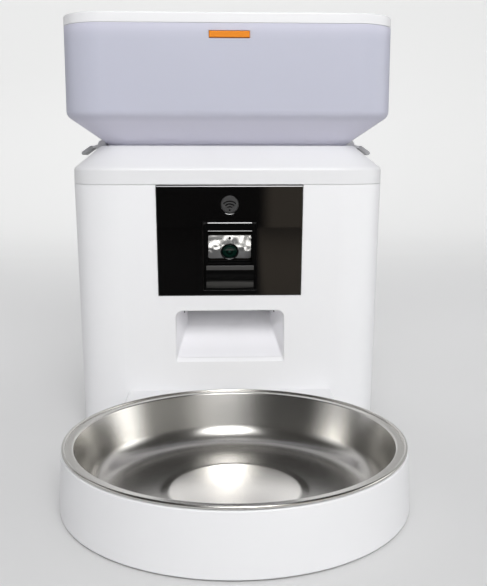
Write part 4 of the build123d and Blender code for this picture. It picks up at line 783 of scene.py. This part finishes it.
even = np.ones(len(turns))
floor_r = base_r - tray_wall
quarter = [(1 - math.sin(a), 1 - math.cos(a)) for a in np.linspace(0, math.pi / 2, 5)]
centre_r, under_r, inside_r = 1.0, 60.0, 50.0
rings = [tray_ring(even * centre_r, foot_z), tray_ring(even * under_r, foot_z)]
rings += [tray_ring(tray_outside(turns, base_r, foot_round * run), foot_z + foot_round * rise)
          for run, rise in quarter]
rings += [tray_ring(tray_outside(turns, wall_r(z)), z) for z in (10.0, 20.0)]
rings += [tray_ring(tray_outside(turns, top_r, rim_round * rise), tray_top - rim_round * run)
          for run, rise in quarter]
rings += [tray_ring(even * (top_r - tray_wall + inner_round * run), tray_top - inner_round * rise)
          for run, rise in quarter]
rings += [tray_ring(even * floor_r, tray_floor_z + corner_leg),
          tray_ring(even * (floor_r - corner_leg), tray_floor_z),
          tray_ring(even * inside_r, tray_floor_z), tray_ring(even * centre_r, tray_floor_z)]
tray_parts = [capped(rings)]
tongue_x, tongue_half, tongue_low, tongue_high, tongue_end = 45.0, 7.0, 14.5, 17.5, 13.55
for x in (-tongue_x, tongue_x):
    tongue = [(x - tongue_half, tongue_low), (x + tongue_half, tongue_low),
              (x + tongue_half, tongue_high), (x - tongue_half, tongue_high)]
    tray_parts.append(prism(tongue, (tray_back - 2, tongue_end), 1))
build("tray_moulding", tray_parts, tray_white, "tray", ["tray"], bevel=0.0003)

# ------------------------------------------------------------------ bowl
# Spun stainless steel with a satin grain: a raised disc in a flat floor, a steep wall and a
# flange with a rolled edge. It lifts out of the tray.


def around(profile, y, turns=256):
    """Turns a closed profile of (radius, height) points about the upright axis at y. The first
    and last points lie on the axis; each becomes one vertex with a fan of triangles."""
    profile = np.array(profile, float)
    angle = np.linspace(0, 2 * math.pi, turns, endpoint=False)
    body = profile[1:-1]
    x = body[:, 0, None] * np.cos(angle)
    rings = np.stack([x, body[:, 0, None] * np.sin(angle) + y,
                      np.repeat(body[:, 1, None], turns, 1)], 2)
    points, faces = skin(list(rings))
    ends = np.array([[0, y, profile[0, 1]], [0, y, profile[-1, 1]]])
    here = np.arange(turns)
    there = (here + 1) % turns
    last = len(points) - turns
    fans = [np.stack([there, here, np.full(turns, len(points))], 1),
            np.stack([last + here, last + there, np.full(turns, len(points) + 1)], 1)]
    return np.concatenate([points, ends]), faces.tolist() + fans[0].tolist() + fans[1].tolist()


def satin_spun(name, colour, rough):
    """Spun steel: grooves run round the axis, so the highlight is drawn out along the radius by
    anisotropy, and ring noise on the radius varies bump and roughness. Its colour carries a painted
    reflection: the disc is painted brighter and the ring at its foot and the floor around it darker."""
    mat = bpy.data.materials.new(name)
    mat.use_nodes = True
    nodes, links = mat.node_tree.nodes, mat.node_tree.links
    shader = nodes["Principled BSDF"]
    shader.inputs["Metallic"].default_value = 1.0
    shader.inputs["Anisotropic"].default_value = 0.5
    way = nodes.new("ShaderNodeTangent")
    way.direction_type = "UV_MAP"
    way.uv_map = "spin"
    links.new(way.outputs["Tangent"], shader.inputs["Tangent"])
    place = nodes.new("ShaderNodeUVMap")
    place.uv_map = "spin"
    split = nodes.new("ShaderNodeSeparateXYZ")
    links.new(place.outputs["UV"], split.inputs["Vector"])
    painted_reflection = nodes.new("ShaderNodeValToRGB")
    # Painted reflection and shade by radius: the disc brighter, the ring at its foot and the floor darker.
    painted_shares = [(0.0, 1.42), (0.365, 1.42), (0.385, 0.45), (0.43, 0.5), (0.62, 0.62), (0.78, 1.0)]
    stops_of(painted_reflection, [(at, [min(1.0, c * share) for c in colour]) for at, share in painted_shares])
    links.new(split.outputs["X"], painted_reflection.inputs["Fac"])
    links.new(painted_reflection.outputs["Color"], shader.inputs["Base Color"])
    lines = nodes.new("ShaderNodeTexNoise")
    lines.noise_dimensions = "1D"
    lines.inputs["Scale"].default_value = 160.0
    lines.inputs["Detail"].default_value = 4.0
    links.new(split.outputs["X"], lines.inputs["W"])
    bump = nodes.new("ShaderNodeBump")
    bump.inputs["Strength"].default_value = 0.02
    bump.inputs["Distance"].default_value = 0.00004
    links.new(lines.outputs["Fac"], bump.inputs["Height"])
    links.new(bump.outputs["Normal"], shader.inputs["Normal"])
    wear = nodes.new("ShaderNodeMapRange")
    wear.inputs["To Min"].default_value = rough * 0.94
    wear.inputs["To Max"].default_value = rough * 1.06
    links.new(lines.outputs["Fac"], wear.inputs["Value"])
    links.new(wear.outputs["Result"], shader.inputs["Roughness"])
    return mat


def bend(before, corner, after, radius, steps=10):
    """The arc of the given radius that rounds a corner between two straight runs."""
    before, corner, after = (np.array(p, float) for p in (before, corner, after))
    u = (before - corner) / np.linalg.norm(before - corner)
    v = (after - corner) / np.linalg.norm(after - corner)
    half = math.acos(np.clip(u @ v, -1, 1)) / 2
    reach = radius / math.tan(half)
    centre = corner + (u + v) / np.linalg.norm(u + v) * radius / math.sin(half)
    a, b = corner + u * reach - centre, corner + v * reach - centre
    turn = math.pi - 2 * half
    t = np.linspace(0, 1, steps + 1)[:, None]
    return list(centre + (np.sin((1 - t) * turn) * a + np.sin(t * turn) * b) / math.sin(turn))


sheet = 0.8
floor_z, flange_z, disc_rise = 2.7, 33.7, 1.1
disc_r, disc_foot_r, flat_to_r = 36.8, 42.2, 66.0
foot_r, foot_turn, lip_r, flange_r = 80.6, 15.0, 88.5, 93.8
bead_r, bead_z = 0.9, 34.6
bowl_floor = floor_z + sheet
top = [(r, bowl_floor + disc_rise) for r in np.linspace(0, disc_r - 0.4, 14)]
top += [(disc_r + (disc_foot_r - disc_r) * s, bowl_floor + disc_rise * (1 - s))
        for s in np.linspace(0.06, 0.94, 8)]
top += [(r, bowl_floor) for r in np.linspace(disc_foot_r + 1, flat_to_r, 10)]
inner_foot, inner_lip = (foot_r - sheet, bowl_floor), (lip_r, flange_z + sheet)
top += bend((disc_foot_r, bowl_floor), inner_foot, inner_lip, foot_turn, 20)
climb = np.linspace(0.45, 0.93, 10)[:, None]
top += list(np.array(inner_foot) + climb * (np.array(inner_lip) - inner_foot))
top += bend(inner_foot, inner_lip, (flange_r, flange_z + sheet), 1.1, 8)
top += [(flange_r + bead_r * math.cos(a), bead_z + bead_r * math.sin(a))
        for a in np.radians(np.linspace(187, -100, 20))]
outer_foot, outer_lip = (foot_r, floor_z), (lip_r + sheet, flange_z)
under = bend((flange_r, flange_z), outer_lip, outer_foot, 1.6, 6)
under += bend(outer_lip, outer_foot, (disc_foot_r, floor_z), foot_turn + sheet, 14)
under += [(disc_foot_r, floor_z), (disc_r, floor_z + disc_rise), (0.0, floor_z + disc_rise)]
points, faces = around((top + under)[::-1], tray_y)
bowl_steel = satin_spun("bowl_steel", (0.66, 0.645, 0.615), 0.24)
bowl = build("bowl_spun", [(points, faces)], bowl_steel, "bowl", ["bowl"], sharp=50)
spin = bowl.data.uv_layers.new(name="spin")
corner_of = np.zeros(len(bowl.data.loops), int)
bowl.data.loops.foreach_get("vertex_index", corner_of)
spots = np.zeros(3 * len(bowl.data.vertices))
bowl.data.vertices.foreach_get("co", spots)
right, back = spots[0::3], spots[1::3] - tray_y * 0.001
radius = np.hypot(right, back)[corner_of]
angle = np.arctan2(back, right)[corner_of] / (2 * math.pi)
uv_per_metre = 10
spin.data.foreach_set("uv", np.stack([radius * uv_per_metre, angle], 1).ravel())

# ------------------------------------------------------------------ camera of the view
# Half a metre in front of the middle of the footprint, a little to the left, at two thirds of the
# feeder's height, looking nine degrees down.

view = bpy.data.objects.new("view", bpy.data.cameras.new("view"))
bpy.context.collection.objects.link(view)
view.data.sensor_width = 36.0
view.data.lens = 50.54
ahead = Vector((0.04189, 0.98582, -0.16252))
across = Vector((0.99910, -0.04245, 0.0))
turn = Matrix((across, across.cross(ahead), -ahead)).transposed()
stand = (-0.01387, -0.53318, 0.18848)
view.matrix_world = Matrix.Translation(stand) @ turn.to_4x4()
bpy.context.scene.camera = view

# ------------------------------------------------------------------ floor and light
# A seamless pale sweep. A large soft box stands high in front, small ones hang above and behind,
# and one stands low at each side. The room is pale to the eye; what is shiny sees a warm wall at
# the right, a window over it and a dark room at the left.


def sweep_line(near=-1.7, apron=-0.45, far=2.2, high=2.6, turn=0.9, steps=24):
    """The sweep from the side: an apron before the feeder, the floor, a quarter circle of radius
    turn, and an upright wall."""
    arc = np.linspace(-math.pi / 2, 0, steps)
    line = [(near, 0.0), (apron, 0.0), (far - turn, 0.0)]
    line += [(far - turn + turn * math.cos(a), turn + turn * math.sin(a)) for a in arc[1:]]
    return np.array(line + [(far, high)])


def ramp_of(tree, value, low, high, start, end):
    """A colour that runs from start to end as the value goes from low to high; start and end
    are colours or sockets that give them."""
    span = tree.nodes.new("ShaderNodeMapRange")
    span.interpolation_type = "SMOOTHSTEP"
    span.inputs["From Min"].default_value = low
    span.inputs["From Max"].default_value = high
    tree.links.new(value, span.inputs["Value"])
    mix = tree.nodes.new("ShaderNodeMix")
    mix.data_type = "RGBA"
    for socket, colour in (("A", start), ("B", end)):
        if isinstance(colour, tuple):
            mix.inputs[socket].default_value = (*colour, 1)
        else:
            tree.links.new(colour, mix.inputs[socket])
    tree.links.new(span.outputs["Result"], mix.inputs["Factor"])
    return mix.outputs["Result"]


def to_the_right(tree, place, lean):
    """How far a place or direction lies to the right of a plane turned slightly to the view."""
    dot = tree.nodes.new("ShaderNodeVectorMath")
    dot.operation = "DOT_PRODUCT"
    dot.inputs[1].default_value = (1.0, lean, 0.0)
    tree.links.new(place, dot.inputs[0])
    return dot.outputs["Value"]


def paper_sweep():
    """Matt white paper, paler toward the back. The eye also gets a glow that evens it out, and
    in reflections the floor before the feeder is dark at the left and warm at the right."""
    mat = bpy.data.materials.new("paper")
    mat.use_nodes = True
    tree = mat.node_tree
    nodes, links = tree.nodes, tree.links
    shader = nodes["Principled BSDF"]
    shader.inputs["Roughness"].default_value = 0.9
    shader.inputs["Specular IOR Level"].default_value = 0.1
    place, _, back, up = place_of(tree)
    pale = ramp_of(tree, back, 0.3, 1.6, (0.62, 0.62, 0.62), (0.86, 0.86, 0.855))
    room = ramp_of(tree, to_the_right(tree, place, 0.056), 0.018, 0.034, (0.03, 0.03, 0.03),
                   (0.46, 0.39, 0.31))
    seen = ramp_of(tree, back, -0.42, -0.24, room, pale)
    rays = nodes.new("ShaderNodeLightPath")
    shown = nodes.new("ShaderNodeMix")
    shown.data_type = "RGBA"
    links.new(rays.outputs["Is Glossy Ray"], shown.inputs["Factor"])
    links.new(pale, shown.inputs["A"])
    links.new(seen, shown.inputs["B"])
    links.new(shown.outputs["Result"], shader.inputs["Base Color"])
    along = nodes.new("ShaderNodeMath")
    links.new(back, along.inputs[0])
    links.new(up, along.inputs[1])
    low_glow = ramp_of(tree, along.outputs["Value"], -0.2, 0.4, (0.03, 0.03, 0.03), (0.18, 0.18, 0.18))
    glow = ramp_of(tree, along.outputs["Value"], 0.4, 2.3, low_glow, (0.31, 0.31, 0.305))
    links.new(glow, shader.inputs["Emission Color"])
    links.new(rays.outputs["Is Camera Ray"], shader.inputs["Emission Strength"])
    return mat


line = sweep_line()
wide = np.array([-3.5, 3.5])
points = np.stack([np.repeat(wide, len(line)), np.tile(line[:, 0], 2), np.tile(line[:, 1], 2)], 1)
k = np.arange(len(line) - 1)
faces = np.stack([k, k + len(line), k + len(line) + 1, k + 1], 1)
mesh = bpy.data.meshes.new("sweep")
mesh.from_pydata(points.tolist(), [], faces.tolist())
mesh.shade_smooth()
mesh.materials.append(paper_sweep())
floor = bpy.data.objects.new("sweep", mesh)
bpy.context.collection.objects.link(floor)


def soft_box(name, place, aim, size, power):
    """A rectangular area light at place that faces aim. Its cloth gives 3.6 times the mean in the
    middle and falls off smoothly to a fifth of the mean at the edge, so the power stays as given."""
    lamp = bpy.data.lights.new(name, "AREA")
    lamp.shape = "RECTANGLE"
    lamp.size, lamp.size_y = size
    lamp.energy = power
    lamp.use_nodes = True
    nodes, links = lamp.node_tree.nodes, lamp.node_tree.links
    cloth = nodes.new("ShaderNodeNewGeometry")
    off = nodes.new("ShaderNodeVectorMath")
    off.operation = "DISTANCE"
    off.inputs[1].default_value = (0.5, 0.5, 0.0)
    fall = nodes.new("ShaderNodeMapRange")
    fall.interpolation_type = "SMOOTHSTEP"
    fall.inputs["From Max"].default_value = 0.5
    fall.inputs["To Min"].default_value = 3.6
    fall.inputs["To Max"].default_value = 0.2
    links.new(cloth.outputs["Parametric"], off.inputs[0])
    links.new(off.outputs["Value"], fall.inputs["Value"])
    links.new(fall.outputs["Result"], nodes["Emission"].inputs["Strength"])
    box = bpy.data.objects.new(name, lamp)
    box.location = place
    box.rotation_euler = (Vector(aim) - Vector(place)).to_track_quat("-Z", "Y").to_euler()
    bpy.context.collection.objects.link(box)


soft_box("box_front", (0.10, -1.08, 0.96), (0, 0, 0.12), (1.1, 1.1), 12)
soft_box("box_above", (0.0, 0.2, 1.5), (0, 0.2, 0.1), (0.9, 0.9), 1.2)
soft_box("box_right", (1.25, 0.02, 0.31), (0, -0.1, 0.05), (1.1, 0.8), 1.8)
soft_box("box_left", (-1.25, -0.04, 0.36), (0, -0.1, 0.05), (1.2, 0.8), 0.9)
soft_box("box_back", (-0.2, 1.35, 1.3), (0, 0.15, 0.15), (1.0, 0.7), 2.2)


def room_of(name):
    """The room around the sweep: an even light for matt surfaces, a little stronger from the
    front and the right, its own reflection for shiny ones, and paper to the eye."""
    world = bpy.data.worlds.new(name)
    world.use_nodes = True
    tree = world.node_tree
    nodes, links = tree.nodes, tree.links
    heading, right, back, up = place_of(tree, "Generated")
    rear = ramp_of(tree, right, -1.0, 1.0, (0.31, 0.31, 0.32), (0.49, 0.495, 0.50))
    front = ramp_of(tree, right, -1.0, 1.0, (0.47, 0.47, 0.48), (0.59, 0.595, 0.60))
    ambient = nodes["Background"]
    ambient.inputs["Strength"].default_value = 1.0
    links.new(ramp_of(tree, back, -0.8, 0.2, front, rear), ambient.inputs["Color"])
    lean = to_the_right(tree, heading, 0.06)
    wall_side = ramp_of(tree, lean, 0.0, 0.02, (0.03, 0.03, 0.03), (0.60, 0.51, 0.41))
    window = ramp_of(tree, lean, 0.05, 0.3, (0.05, 0.05, 0.05), (0.80, 0.79, 0.77))
    level_side = ramp_of(tree, lean, 0.42, 0.66, window, (0.42, 0.415, 0.40))
    rising = ramp_of(tree, up, -0.01, 0.03, wall_side, level_side)
    mirrored = nodes.new("ShaderNodeBackground")
    links.new(ramp_of(tree, up, 0.15, 0.35, rising, (0.05, 0.048, 0.045)), mirrored.inputs["Color"])
    paper = nodes.new("ShaderNodeBackground")
    paper.inputs["Color"].default_value = (0.80, 0.80, 0.795, 1)
    rays = nodes.new("ShaderNodeLightPath")
    shown = ambient
    for ray, other in (("Is Glossy Ray", mirrored), ("Is Camera Ray", paper)):
        pick = nodes.new("ShaderNodeMixShader")
        links.new(rays.outputs[ray], pick.inputs[0])
        links.new(shown.outputs[0], pick.inputs[1])
        links.new(other.outputs[0], pick.inputs[2])
        shown = pick
    links.new(shown.outputs[0], nodes["World Output"].inputs["Surface"])
    return world


bpy.context.scene.world = room_of("room")
bpy.context.scene.view_settings.view_transform = "Standard"
